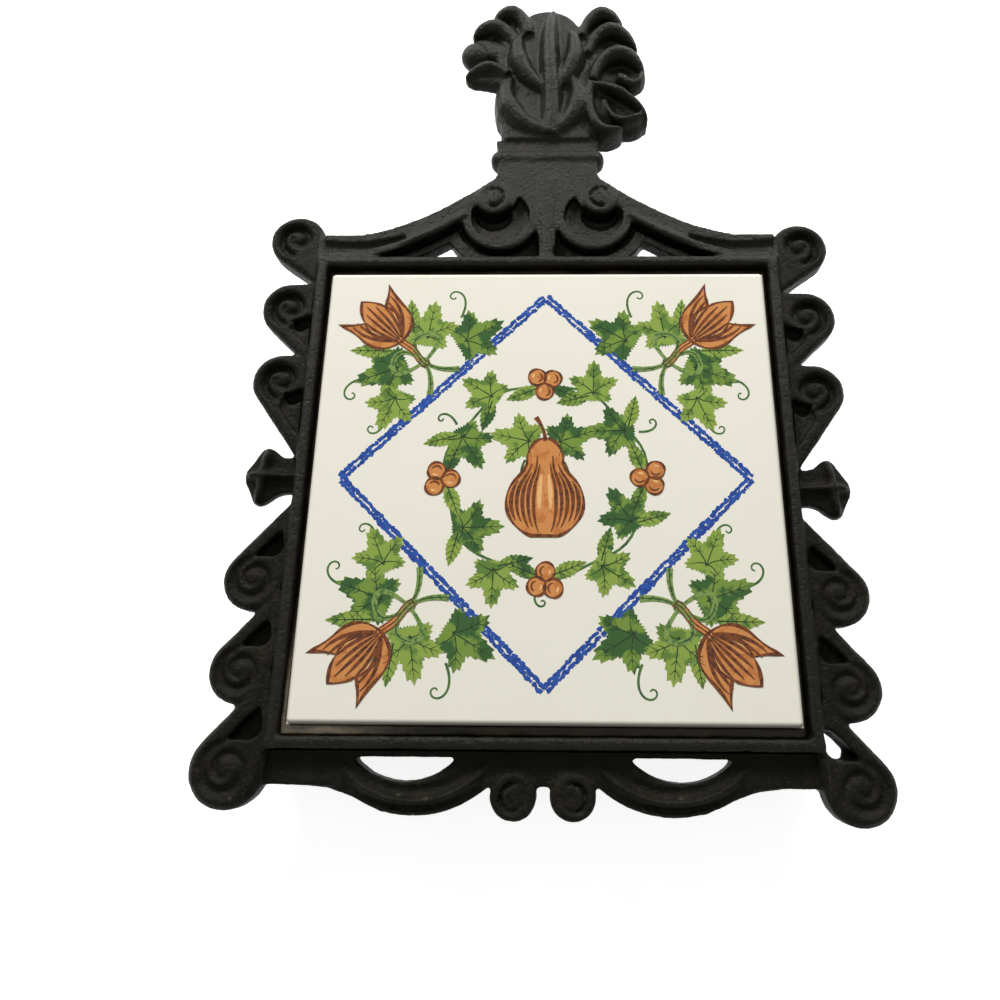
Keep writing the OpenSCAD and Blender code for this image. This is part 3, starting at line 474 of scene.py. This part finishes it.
def cast_pieces():
    """Cut the skin into the casting's pieces. The table holds each one's name, its node and the
    planes that bound it, as point and outward normal."""
    left, right = Vector((-1, 0, 0)), Vector((1, 0, 0))
    down, up = Vector((0, -1, 0)), Vector((0, 1, 0))
    under, over = Vector((0, 0, -1)), Vector((0, 0, 1))
    low = tray_low - SEAM_OFF * Vector((1, 1, 2))
    high = tray_high + SEAM_OFF * Vector((1, 1, 0))
    shelf = Vector((0, 0, tile_low.z)) + SEAM_OFF * over
    sides = [(low, left), (high, right)]
    ends = [(low, down), (high, up)]
    table = [
        ("left_scrolls", "left_scrollwork", [(low, right)]),
        ("right_scrolls", "right_scrollwork", [(high, left)]),
        ("apron_casting", "apron", sides + [(low, up)]),
        ("pediment_casting", "pediment", sides + [(high, down), (neck_low, up)]),
        ("neck_casting", "neck", sides + [(neck_low, down), (neck_high, up)]),
        ("crest_casting", "crest", sides + [(neck_high, down)]),
        ("rim_casting", "tray", sides + ends + [(shelf, under)]),
        ("ledge_casting", "tray", sides + ends + [(shelf, over), (low, under)]),
        ("feet_casting", "feet", sides + ends + [(low, over)]),
    ]
    skin = poured_skin()
    worn = sand_cast_iron("worn_iron", sheen=0.05, paleness=1.0)
    polished = sand_cast_iron("polished_iron", sheen=0.13, paleness=0.6)
    for name, node, planes in table:
        piece = skin.copy()
        piece.data = skin.data.copy()
        piece.name = name
        bpy.context.scene.collection.objects.link(piece)
        for point, normal in planes:
            cut(piece, point, normal)
        # Most of the ledge is hidden under the tile and does with half its faces
        if name == "ledge_casting":
            apply_modifier(piece, "DECIMATE", ratio=0.5)
        only(piece)
        bpy.ops.object.shade_smooth_by_angle(angle=math.radians(70))
        dress(piece, polished if name in POLISHED else worn)
        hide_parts(node)
    bpy.data.objects.remove(skin)


# The printed design: flat inks, each a thin slab let into the glaze. It is drawn in millimetres
# from the middle of the tile

# A layer of ink lies this much over the one below
INK_STEP = 0.015 * MM
# Shapes of one ink that cross have tops at slightly different heights, so that no two coincide
INK_LEVELS = 97


class Ink:
    """Collects the flat shapes of one ink and makes them one piece."""

    def __init__(self, name, layer, light, dark, blot, share=0.5):
        self.name = name
        self.material = printing_ink("ink_" + name, light, dark, blot * MM, share)
        self.low = GLAZE_Z + layer * INK_STEP
        self.count = 0
        self.verts = []
        self.faces = []

    def slab(self, points):
        """Points at the slab's back, then the same points at its face."""
        base = len(self.verts)
        self.count += 1
        rise = INK_STEP * (self.count % INK_LEVELS) / INK_LEVELS
        for z in (GLAZE_Z - 2 * INK_STEP - rise, self.low + rise):
            for x, y in points:
                self.verts.append((tile_mid.x + x * MM, tile_mid.y + y * MM, z))
        return base, len(points)

    def patch(self, middle, outline):
        """A slab whose whole outline, anticlockwise, can be seen from its middle."""
        base, n = self.slab([middle] + outline)
        for i in range(1, n):
            j = i % (n - 1) + 1
            self.faces.append((base + n, base + n + i, base + n + j))
            self.faces.append((base, base + j, base + i))
            self.faces.append((base + i, base + j, base + n + j, base + n + i))

    def stroke(self, points, widths):
        """A brush line through the points, with a width at each."""
        across = []
        for i, (x, y) in enumerate(points):
            x0, y0 = points[max(i - 1, 0)]
            x1, y1 = points[min(i + 1, len(points) - 1)]
            size = math.hypot(x1 - x0, y1 - y0) or 1.0
            nx, ny = (y1 - y0) / size * widths[i] / 2, -(x1 - x0) / size * widths[i] / 2
            across += [(x + nx, y + ny), (x - nx, y - ny)]
        base, n = self.slab(across)
        for a in range(base, base + n - 2, 2):
            self.faces.append((a + n, a + n + 2, a + n + 3, a + n + 1))
            self.faces.append((a, a + 1, a + 3, a + 2))
            self.faces.append((a, a + 2, a + n + 2, a + n))
            self.faces.append((a + 1, a + n + 1, a + n + 3, a + 3))
        last = base + n - 2
        self.faces.append((base, base + n, base + n + 1, base + 1))
        self.faces.append((last, last + 1, last + n + 1, last + n))

    def make(self):
        mesh = bpy.data.meshes.new("print_" + self.name)
        mesh.from_pydata(self.verts, [], self.faces)
        piece = bpy.data.objects.new("print_" + self.name, mesh)
        bpy.context.scene.collection.objects.link(piece)
        dress(piece, self.material)


# Each ink: its layer, light and dark colour, size of its blots in millimetres and how much of it is
# dark
INKS = {
    "stem": Ink("stem", 2, (0.075, 0.175, 0.030), (0.030, 0.095, 0.020), 2.0),
    "leaf": Ink("leaf", 3, (0.185, 0.300, 0.040), (0.033, 0.105, 0.020), 4.5, 0.62),
    "pale_leaf": Ink("pale_leaf", 3, (0.270, 0.380, 0.060), (0.105, 0.205, 0.030), 3.5, 0.4),
    "vein": Ink("vein", 4, (0.014, 0.042, 0.010), (0.008, 0.026, 0.007), 1.0),
    "ribbon": Ink("ribbon", 5, (0.215, 0.330, 0.080), (0.075, 0.160, 0.035), 1.0, 0.45),
    "crease": Ink("crease", 6, (0.030, 0.085, 0.020), (0.015, 0.050, 0.012), 1.0),
    "fruit": Ink("fruit", 4, (0.640, 0.265, 0.075), (0.520, 0.180, 0.040), 2.2, 0.4),
    "shine": Ink("shine", 5, (0.820, 0.500, 0.200), (0.760, 0.400, 0.140), 1.0, 0.4),
    "outline": Ink("outline", 6, (0.200, 0.052, 0.010), (0.085, 0.022, 0.006), 1.2),
    "blue": Ink("blue", 1, (0.020, 0.090, 0.400), (0.008, 0.050, 0.270), 0.8, 0.6),
}


def polar(centre, radius, angle):
    """The point at an angle in radians and a distance from a centre."""
    return (centre[0] + radius * math.cos(angle), centre[1] + radius * math.sin(angle))


def arc(centre, radius, start, end, count):
    """Points along an arc, angles in degrees."""
    step = (end - start) / (count - 1)
    return [polar(centre, radius, math.radians(start + step * i)) for i in range(count)]


def bend(p0, p1, p2, count=12):
    """Points along a curve that leaves p0 towards p1 and ends in p2."""
    points = []
    for i in range(count):
        t = i / (count - 1)
        points.append(tuple((1 - t) ** 2 * a + 2 * t * (1 - t) * b + t * t * c
            for a, b, c in zip(p0, p1, p2)))
    return points


def taper(count, thick, thin=0.15):
    """Widths that swell in the middle of a stroke."""
    return [thin + (thick - thin) * math.sin(math.pi * (i + 0.5) / count) for i in range(count)]


class Sprig:
    """A small drawing with its own place and turn on the tile: u runs along it and v across."""

    def __init__(self, x, y, degrees, flip=1):
        self.origin = (x, y)
        self.turn = math.radians(degrees)
        self.flip = flip

    def at(self, u, v):
        """The point u, v of the drawing on the tile."""
        ca, sa = math.cos(self.turn), math.sin(self.turn)
        v = v * self.flip
        return (self.origin[0] + u * ca - v * sa, self.origin[1] + u * sa + v * ca)

    def line(self, ink, points, widths):
        """A brush line, its points in u and v, with one width or a width for each point."""
        if isinstance(widths, float):
            widths = [widths] * len(points)
        INKS[ink].stroke([self.at(u, v) for u, v in points], widths)

    def shape(self, ink, middle, outline):
        """A filled shape, its outline anticlockwise in u and v."""
        points = [self.at(u, v) for u, v in outline]
        INKS[ink].patch(self.at(*middle), points if self.flip > 0 else points[::-1])

    def outlined(self, middle, outline, width):
        """A fruit or petal shape with a brush line round it, drawn in two strokes that overlap."""
        self.shape("fruit", middle, outline)
        ring = outline + outline[:2]
        widths = [width * (0.8 + 0.35 * math.sin(i * 0.9)) for i in range(len(ring))]
        half = len(outline) // 2
        self.line("outline", ring[:half + 2], widths[:half + 2])
        self.line("outline", ring[half:], widths[half:])

    def vine_leaf(self, u, v, degrees, size, ink="leaf"):
        """A leaf of five toothed lobes, its stalk end at u, v."""
        heading = math.radians(degrees)
        middle = polar((u, v), size * 0.34, heading)
        # Each lobe: its direction in degrees from the leaf's, how far it stands out and its width
        lobes = ((0, 0.54, 0.40), (64, 0.40, 0.36), (-64, 0.40, 0.36), (124, 0.24, 0.36),
            (-124, 0.24, 0.36))
        teeth = 33
        outline = []
        for i in range(2 * teeth):
            a = math.pi * i / teeth - math.pi
            swells = [tall * math.exp(-((a - math.radians(aside)) / wide) ** 2)
                for aside, tall, wide in lobes]
            reach = 0.40 + sum(swells)
            outline.append(polar(middle, size * reach * (1.0 if i % 2 else 0.87), heading + a))
        self.shape(ink, middle, outline)
        for aside, tall, _ in lobes:
            tip = polar(middle, size * (0.30 + tall) * 0.96, heading + math.radians(aside))
            base = polar((u, v), size * 0.16, heading)
            self.line("vein", bend(base, middle, tip, 7), [0.10, 0.22, 0.26, 0.24, 0.2, 0.15, 0.08])
            if tall > 0.3:
                for share in (0.45, 0.7):
                    start = tuple(m + (t - m) * share for m, t in zip(middle, tip))
                    for way in (-1, 1):
                        end = polar(start, size * 0.17, heading + math.radians(aside + way * 42))
                        self.line("vein", [start, end], [0.2, 0.09])
        self.line("stem", bend((u, v), polar((u, v), size * 0.1, heading), middle, 4), 0.5)

    def almond_leaf(self, u, v, degrees, length, width, ink="pale_leaf"):
        """A narrow leaf with a toothed edge, a middle vein and side veins."""
        leaf = Sprig(*self.at(u, v), math.degrees(self.turn) + degrees * self.flip)
        teeth = 8
        edge = [(length * i / (2 * teeth), width / 2 * math.sin(math.pi * (i / (2 * teeth)) ** 0.8)
            * (1.0 if i % 2 else 0.82)) for i in range(1, 2 * teeth)]
        leaf.shape(ink, (length * 0.42, 0.0), [(0, 0)] + [(a, -b) for a, b in edge] + [(length, 0)]
            + [(a, b) for a, b in edge[::-1]])
        leaf.line("vein", [(length * t, 0) for t in (0.02, 0.3, 0.6, 0.95)], [0.28, 0.26, 0.2, 0.1])
        for t in (0.2, 0.38, 0.56, 0.72):
            for way in (-1, 1):
                reach = width * 0.36 * math.sin(math.pi * t ** 0.8)
                leaf.line("vein", [(length * t, 0), (length * (t + 0.13), way * reach)], [0.18, 0.08])

    def tendril(self, u, v, degrees, length, way, width=0.6):
        """A thin stem that winds up into a curl."""
        steps = 30
        x, y, heading = u, v, math.radians(degrees)
        points = [(x, y)]
        for i in range(steps):
            heading += way * (0.04 + 0.46 * (i / steps) ** 1.6)
            stride = length / steps * (1.25 - 0.7 * i / steps)
            x, y = x + stride * math.cos(heading), y + stride * math.sin(heading)
            points.append((x, y))
        self.line("stem", points, [width * (1 - 0.45 * i / steps) for i in range(steps + 1)])

    def bow(self, u, v, size):
        """A ribbon tied in a bow: two loops, two tails and the knot."""
        for way in (-1, 1):
            tip = (u + size * 0.75, v + way * size * 0.95)
            out = bend((u, v), (u + size * 1.35, v + way * size * 0.10), tip, 9)
            back = bend(tip, (u + size * 0.15, v + way * size * 1.45), (u, v), 9)
            swell = [0.7 + 0.65 * math.sin(math.pi * i / 16) for i in range(17)]
            self.line("ribbon", out + back[1:], swell)
            self.line("crease", out[2:], taper(7, 0.3, 0.1))
            tip = (u - size * 1.15, v + way * size * 0.75)
            tail = bend((u, v), (u - size * 0.65, v + way * size * 0.1), tip, 9)
            self.line("ribbon", tail, [0.7 + 0.1 * i for i in range(9)])
            self.line("crease", tail[1:], taper(8, 0.3, 0.1))
        self.shape("ribbon", (u, v), arc((u, v), size * 0.2, 0, 324, 10))
        self.line("crease", arc((u, v), size * 0.2, 100, 260, 8), taper(8, 0.3, 0.12))

    def berry(self, u, v, r):
        """A round berry with a shaded side and a glint."""
        self.outlined((u, v), arc((u, v), r, 0, 342, 20), 0.55)
        self.line("outline", arc((u, v), r * 0.55, 190, 330, 8), taper(8, 0.45))
        self.line("shine", arc((u, v), r * 0.5, 40, 110, 6), taper(6, 0.55))

    def hatch(self, start, end, swell, thick):
        """A brush mark from start to end that swells sideways."""
        middle = ((start[0] + end[0]) / 2, (start[1] + end[1]) / 2 + swell)
        self.line("outline", bend(start, middle, end, 9), taper(9, thick, 0.1))


# The strands of the dry brush: distance from the line's middle, share of the full width, and how
# far apart the dashes start as a share of their length
BRUSH_STRANDS = ((-0.6, 1.0, 1.0), (-0.1, 0.5, 2.2), (0.6, 1.0, 1.0))
SHORTEST_DASH = 1.0
DASH_POINTS_APART = 0.4


def rough_line(x0, y0, x1, y1):
    """A broken double line of a dry brush."""
    length = math.hypot(x1 - x0, y1 - y0)
    ux, uy = (x1 - x0) / length, (y1 - y0) / length
    for off, thick, spacing in BRUSH_STRANDS:
        along = rng.random()
        while along < length:
            dash = min(rng.uniform(2.0, 6.5), length - along)
            if dash < SHORTEST_DASH:
                break
            count = max(3, int(dash / DASH_POINTS_APART))
            points = []
            widths = []
            for k in range(count):
                a = along + dash * k / (count - 1)
                side = off + rng.uniform(-0.2, 0.2)
                points.append((x0 + ux * a - uy * side, y0 + uy * a + ux * side))
                widths.append(rng.uniform(0.55, 1.25) * thick)
            INKS["blue"].stroke(points, widths)
            along += dash * spacing + rng.uniform(-0.3, 0.3)


def tulip(sprig, u, size):
    """A tulip's cup of three petals, from its stem at u."""
    side = bend((0, -0.05), (0.06, -0.46), (0.46, -0.50), 8)
    side += bend((0.46, -0.50), (0.80, -0.50), (1.04, -0.60), 6)[1:]
    side += bend((1.04, -0.60), (0.84, -0.44), (0.74, -0.24), 5)[1:]
    side += bend((0.74, -0.24), (0.94, -0.20), (1.12, 0.0), 6)[1:]
    cup = side + [(a, -b) for a, b in side[-2::-1]]
    sprig.outlined((u + size * 0.45, 0), [(u + a * size, b * size) for a, b in cup], 0.75)
    for k in range(-4, 5):
        lean = k / 4
        high = (0.98 - 0.5 * abs(lean)) if abs(k) < 3 else 0.84
        foot, top = (u + size * 0.07, lean * size * 0.10), (u + size * high, lean * size * 0.45)
        sprig.hatch(foot, top, lean * size * 0.20, 0.8)
        if k % 2:
            glint = bend((u + size * 0.3, lean * size * 0.24), (u + size * 0.45, lean * size * 0.36),
                (u + size * 0.62, lean * size * 0.40), 6)
            sprig.line("shine", glint, taper(6, 0.7, 0.1))
    for way in (-1, 1):
        petal = bend((u + size * 0.05, way * size * 0.05), (u + size * 0.38, way * size * 0.42),
            (u + size * 0.74, way * size * 0.24), 10)
        sprig.line("outline", petal, taper(10, 0.8, 0.4))


def pear(sprig, size):
    """A pear standing on u, shaded with curved brush marks, with its stalk."""
    def edge(u):
        """Half width of the pear at u, from its foot at -0.5 to its crown at 0.56."""
        t = min(max((u + 0.5) / 1.06, 0.0), 1.0)
        belly = 0.40 * math.sqrt(max(0.0, 1 - ((t - 0.34) / 0.36) ** 2)) if t < 0.70 else 0.0
        neck = 0.19 * math.sqrt(max(0.0, 1 - ((t - 0.76) / 0.24) ** 2)) if t > 0.52 else 0.0
        flank = 0.40 - 0.245 * ((t - 0.34) / 0.42) ** 1.3 if 0.34 < t < 0.76 else 0.0
        return max(belly, neck, flank)

    heights = [-0.5 + 1.06 * (0.5 - 0.5 * math.cos(math.pi * i / 26)) for i in range(27)]
    right = [(size * u, -size * edge(u)) for u in heights]
    left = [(size * u, size * edge(u)) for u in heights[-2:0:-1]]
    sprig.outlined((0, 0), right + left, 0.75)
    for k in range(-6, 7):
        lean = k / 6.6
        low = -0.47 + 0.16 * lean * lean + 0.03 * (k % 2)
        high = (0.50 if k % 2 else 0.36) - 0.30 * abs(lean)
        mark = [(low + (high - low) * i / 12) for i in range(13)]
        points = [(size * u, size * edge(u) * lean * 0.96) for u in mark]
        if abs(k) > 1:
            sprig.line("outline", points, taper(13, 0.75 + 0.25 * abs(lean), 0.15))
        elif k:
            sprig.line("shine", points[3:9], taper(6, 1.1, 0.2))
    sprig.line("outline", bend((size * 0.53, 0), (size * 0.66, 0), (size * 0.80, size * 0.10), 8),
        [1.0, 0.9, 0.8, 0.75, 0.7, 0.8, 1.0, 1.2])


TULIP_AT, TULIP_SIZE = 49.5, 13.5
BOW_AT, BOW_SIZE = 41.5, 6.4
STALKS_FROM = 40


def corner_bunch(degrees, flip):
    """A tulip tied with a bow among vine leaves, its cup towards the corner."""
    s = Sprig(0, 0, degrees, flip)
    stalk = [(STALKS_FROM + i, 0.25 * math.sin(i * 0.8)) for i in range(12)]
    s.line("fruit", stalk, 1.7)
    for side in (-0.8, 0.0, 0.8):
        s.line("outline", [(u, side + v) for u, v in stalk], 0.3)
    tulip(s, TULIP_AT, TULIP_SIZE)
    s.vine_leaf(44.0, 3.6, 66, 10.2)
    s.vine_leaf(44.6, -3.4, -54, 9.6, "pale_leaf")
    s.vine_leaf(40.0, 9.4, 112, 8.6, "pale_leaf")
    s.vine_leaf(39.0, -9.0, -104, 10.0)
    s.almond_leaf(49, 3.4, 44, 10.5, 4.2)
    s.almond_leaf(49, -3.4, -38, 9.5, 4.0)
    s.tendril(47, 11.5, 44, 15, 1, 0.6)
    s.tendril(44, -14.5, -70, 14, 1, 0.6)
    s.tendril(38, 15.5, 140, 11, -1, 0.55)
    s.bow(BOW_AT, 0, BOW_SIZE)


WREATH_RADIUS = 23.0
WREATH_SPOTS = 12
BERRY_RADIUS = 2.1


def wreath():
    """A ring of leaves and berries."""
    s = Sprig(0, 0, 0)
    ring = [polar((0, 0), WREATH_RADIUS + 0.7 * math.sin(i * 0.61), math.radians(5 * i))
        for i in range(73)]
    s.line("stem", ring, 0.6)
    for i in range(WREATH_SPOTS):
        a = 360 * i / WREATH_SPOTS
        way = 1 if i % 2 else -1
        spot = Sprig(*polar((0, 0), WREATH_RADIUS, math.radians(a)), a)
        if i % 3 == 0:
            spot.almond_leaf(-0.5, 1.6, 112, 8.4, 3.8)
            spot.almond_leaf(-0.5, -1.6, -112, 7.6, 3.6, "leaf")
            for du, dv in ((1.9, -1.7), (2.3, 2.0), (-1.4, 0.2)):
                spot.berry(du, dv, BERRY_RADIUS)
        else:
            inks = ("leaf", "pale_leaf") if way > 0 else ("pale_leaf", "leaf")
            spot.vine_leaf(0.6 * way, 0, 90 + 62 * way, 8.6 + 0.4 * way, inks[0])
            spot.almond_leaf(0, 1.2, 90 - 44 * way, 8.2, 3.8, inks[1])
        if i % 4 == 1:
            spot.tendril(1.5, -1.0, -35, 9, 1)


LOZENGE_REACH = 47.0
PEAR_SIZE = 22.0


def print_design():
    """A lozenge of rough lines, a bunch in each corner, and the pear in its wreath."""
    corners = [(0, LOZENGE_REACH), (-LOZENGE_REACH, 0), (0, -LOZENGE_REACH), (LOZENGE_REACH, 0)]
    for i in range(4):
        (x0, y0), (x1, y1) = corners[i], corners[(i + 1) % 4]
        rough_line(x0, y0, x1, y1)
    for i in range(4):
        corner_bunch(45 + 90 * i, 1 if i % 2 else -1)
    wreath()
    middle = Sprig(0, -2.6, 90)
    middle.vine_leaf(11.0, -1.6, -72, 8.6)
    middle.vine_leaf(11.2, 1.8, 78, 9.0, "pale_leaf")
    middle.tendril(6.5, -4.4, -150, 11, -1, 0.55)
    middle.tendril(7.0, 4.6, 152, 11, 1, 0.55)
    pear(middle, PEAR_SIZE)
    for ink in INKS.values():
        ink.make()


# The adhesive's bead, squeezed up unevenly between tile and rim

BEAD_VOXEL = 0.3 * MM
BEAD_LUMPS = (7 * MM, 1.1 * MM)
# How much higher the bead stands in the lower left corner of the tile, and how far that reaches
BEAD_RISE = 1.5 * MM
BEAD_RISE_REACH = 24 * MM


def adhesive_bead(material):
    """The bead: its top lumpy, and higher towards the lower left."""
    bead_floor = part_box("adhesive_bead")[0][2]
    bead = merged_copy("squeezed_bead", ("adhesive_bead",))
    apply_modifier(bead, "REMESH", mode="VOXEL", voxel_size=BEAD_VOXEL)
    apply_modifier(bead, "SMOOTH", factor=0.5, iterations=4)
    size, height = BEAD_LUMPS
    apply_modifier(bead, "DISPLACE", texture=clouds("bead_lumps", size, 2), strength=height,
        mid_level=0.62, texture_coords="LOCAL", direction="Z")
    corner = Vector((tile_low.x, tile_low.y, tile_high.z))
    for vertex in bead.data.vertices:
        near = max(0.0, 1.0 - (vertex.co - corner).length / BEAD_RISE_REACH)
        high = max(0.0, (vertex.co.z - bead_floor) / (tile_high.z - bead_floor))
        vertex.co.z += BEAD_RISE * min(1.0, 2.0 * near) * high
    bpy.ops.object.shade_smooth()
    dress(bead, material)
    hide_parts("adhesive_bead")


# Floor, light and camera

FLOOR_SIZE = 6.0
# The floor's own light for the rays that see it, which keeps it white and leaves the shadow
FLOOR_GLOW = 0.84
WORLD_LIGHT = 0.20
WHITE = (1.0, 1.0, 1.0, 1.0)
# Each lamp: its name, place, size and power in watts; both look at the same point
LAMPS = (("left_window", (-0.50, 0.80, 0.55), 0.32, 10.7),
    ("right_window", (0.42, 0.86, 0.50), 0.42, 8.8))
LAMPS_AIM = (0, -0.03, 0)


def backdrop_rays(tree):
    """1 for the rays that see the backdrop: straight, mirrored or through something."""
    paths = tree.nodes.new("ShaderNodeLightPath")
    seen = Sock(tree, paths.outputs["Is Camera Ray"])
    for kind in ("Is Glossy Ray", "Is Transmission Ray"):
        seen = seen.maths("MAXIMUM", Sock(tree, paths.outputs[kind]))
    return seen


def pale_floor():
    """A floor that seems white and keeps the object's shadow."""
    bpy.ops.mesh.primitive_plane_add(size=FLOOR_SIZE, location=(0, 0, cad_box[0][2]))
    floor = bpy.context.object
    floor.name = "floor"
    s = Shader("pale_floor")
    tree = s.tree
    seen = backdrop_rays(tree)
    glow = tree.nodes.new("ShaderNodeEmission")
    glow.inputs["Strength"].default_value = FLOOR_GLOW
    s.finish(Base_Color=(0.80, 0.80, 0.79), Roughness=0.9)
    add = tree.nodes.new("ShaderNodeAddShader")
    pick = tree.nodes.new("ShaderNodeMixShader")
    tree.links.new(s.bsdf.outputs[0], add.inputs[0])
    tree.links.new(glow.outputs[0], add.inputs[1])
    tree.links.new(seen.link, pick.inputs[0])
    tree.links.new(s.bsdf.outputs[0], pick.inputs[1])
    tree.links.new(add.outputs[0], pick.inputs[2])
    tree.links.new(pick.outputs[0], tree.nodes["Material Output"].inputs["Surface"])
    floor.data.materials.append(s.material)


def lamp(name, place, size, power):
    """A round lamp that looks at the object."""
    light = bpy.data.lights.new(name, "AREA")
    light.shape = "DISK"
    light.size = size
    light.energy = power
    holder = bpy.data.objects.new(name, light)
    bpy.context.scene.collection.objects.link(holder)
    holder.location = place
    holder.rotation_euler = (Vector(LAMPS_AIM) - Vector(place)).to_track_quat("-Z", "Y").to_euler()


def studio():
    """A soft white world, white for the rays that see it, and two lamps like windows."""
    world = bpy.data.worlds.new("studio")
    bpy.context.scene.world = world
    world.use_nodes = True
    tree = world.node_tree
    soft = tree.nodes["Background"]
    soft.inputs["Color"].default_value = WHITE
    soft.inputs["Strength"].default_value = WORLD_LIGHT
    white = tree.nodes.new("ShaderNodeBackground")
    white.inputs["Color"].default_value = WHITE
    pick = tree.nodes.new("ShaderNodeMixShader")
    tree.links.new(backdrop_rays(tree).link, pick.inputs[0])
    tree.links.new(soft.outputs[0], pick.inputs[1])
    tree.links.new(white.outputs[0], pick.inputs[2])
    tree.links.new(pick.outputs[0], tree.nodes["World Output"].inputs["Surface"])
    for setting in LAMPS:
        lamp(*setting)


# The camera stands over the lower edge and looks along the object
CAMERA_AT = Vector((tile_mid.x + 2.4 * MM, tile_mid.y - 52.0 * MM, GLAZE_Z + 161.0 * MM))
CAMERA_TURN = (17.21, 0.88, 0.43)
CAMERA_LENS = 26.64
CAMERA_SHIFT = (-0.043, -0.013)
CAMERA_SENSOR = 36.0


def camera():
    """Make the camera and set it as the scene's."""
    data = bpy.data.cameras.new("camera")
    data.lens = CAMERA_LENS
    data.sensor_width = CAMERA_SENSOR
    data.shift_x, data.shift_y = CAMERA_SHIFT
    data.clip_start = 0.01
    eye = bpy.data.objects.new("camera", data)
    bpy.context.scene.collection.objects.link(eye)
    eye.location = CAMERA_AT
    eye.rotation_euler = Euler([math.radians(a) for a in CAMERA_TURN], "XYZ")
    bpy.context.scene.camera = eye


def redress(node, material):
    """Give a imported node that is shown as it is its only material."""
    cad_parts[node].data.materials.clear()
    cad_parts[node].data.materials.append(material)


camera()
cast_pieces()
redress("tile", tile_glaze())
glue = old_adhesive()
adhesive_bead(glue)
redress("adhesive_bed", glue)
print_design()
pale_floor()
studio()
bpy.context.scene.view_settings.view_transform = "Standard"
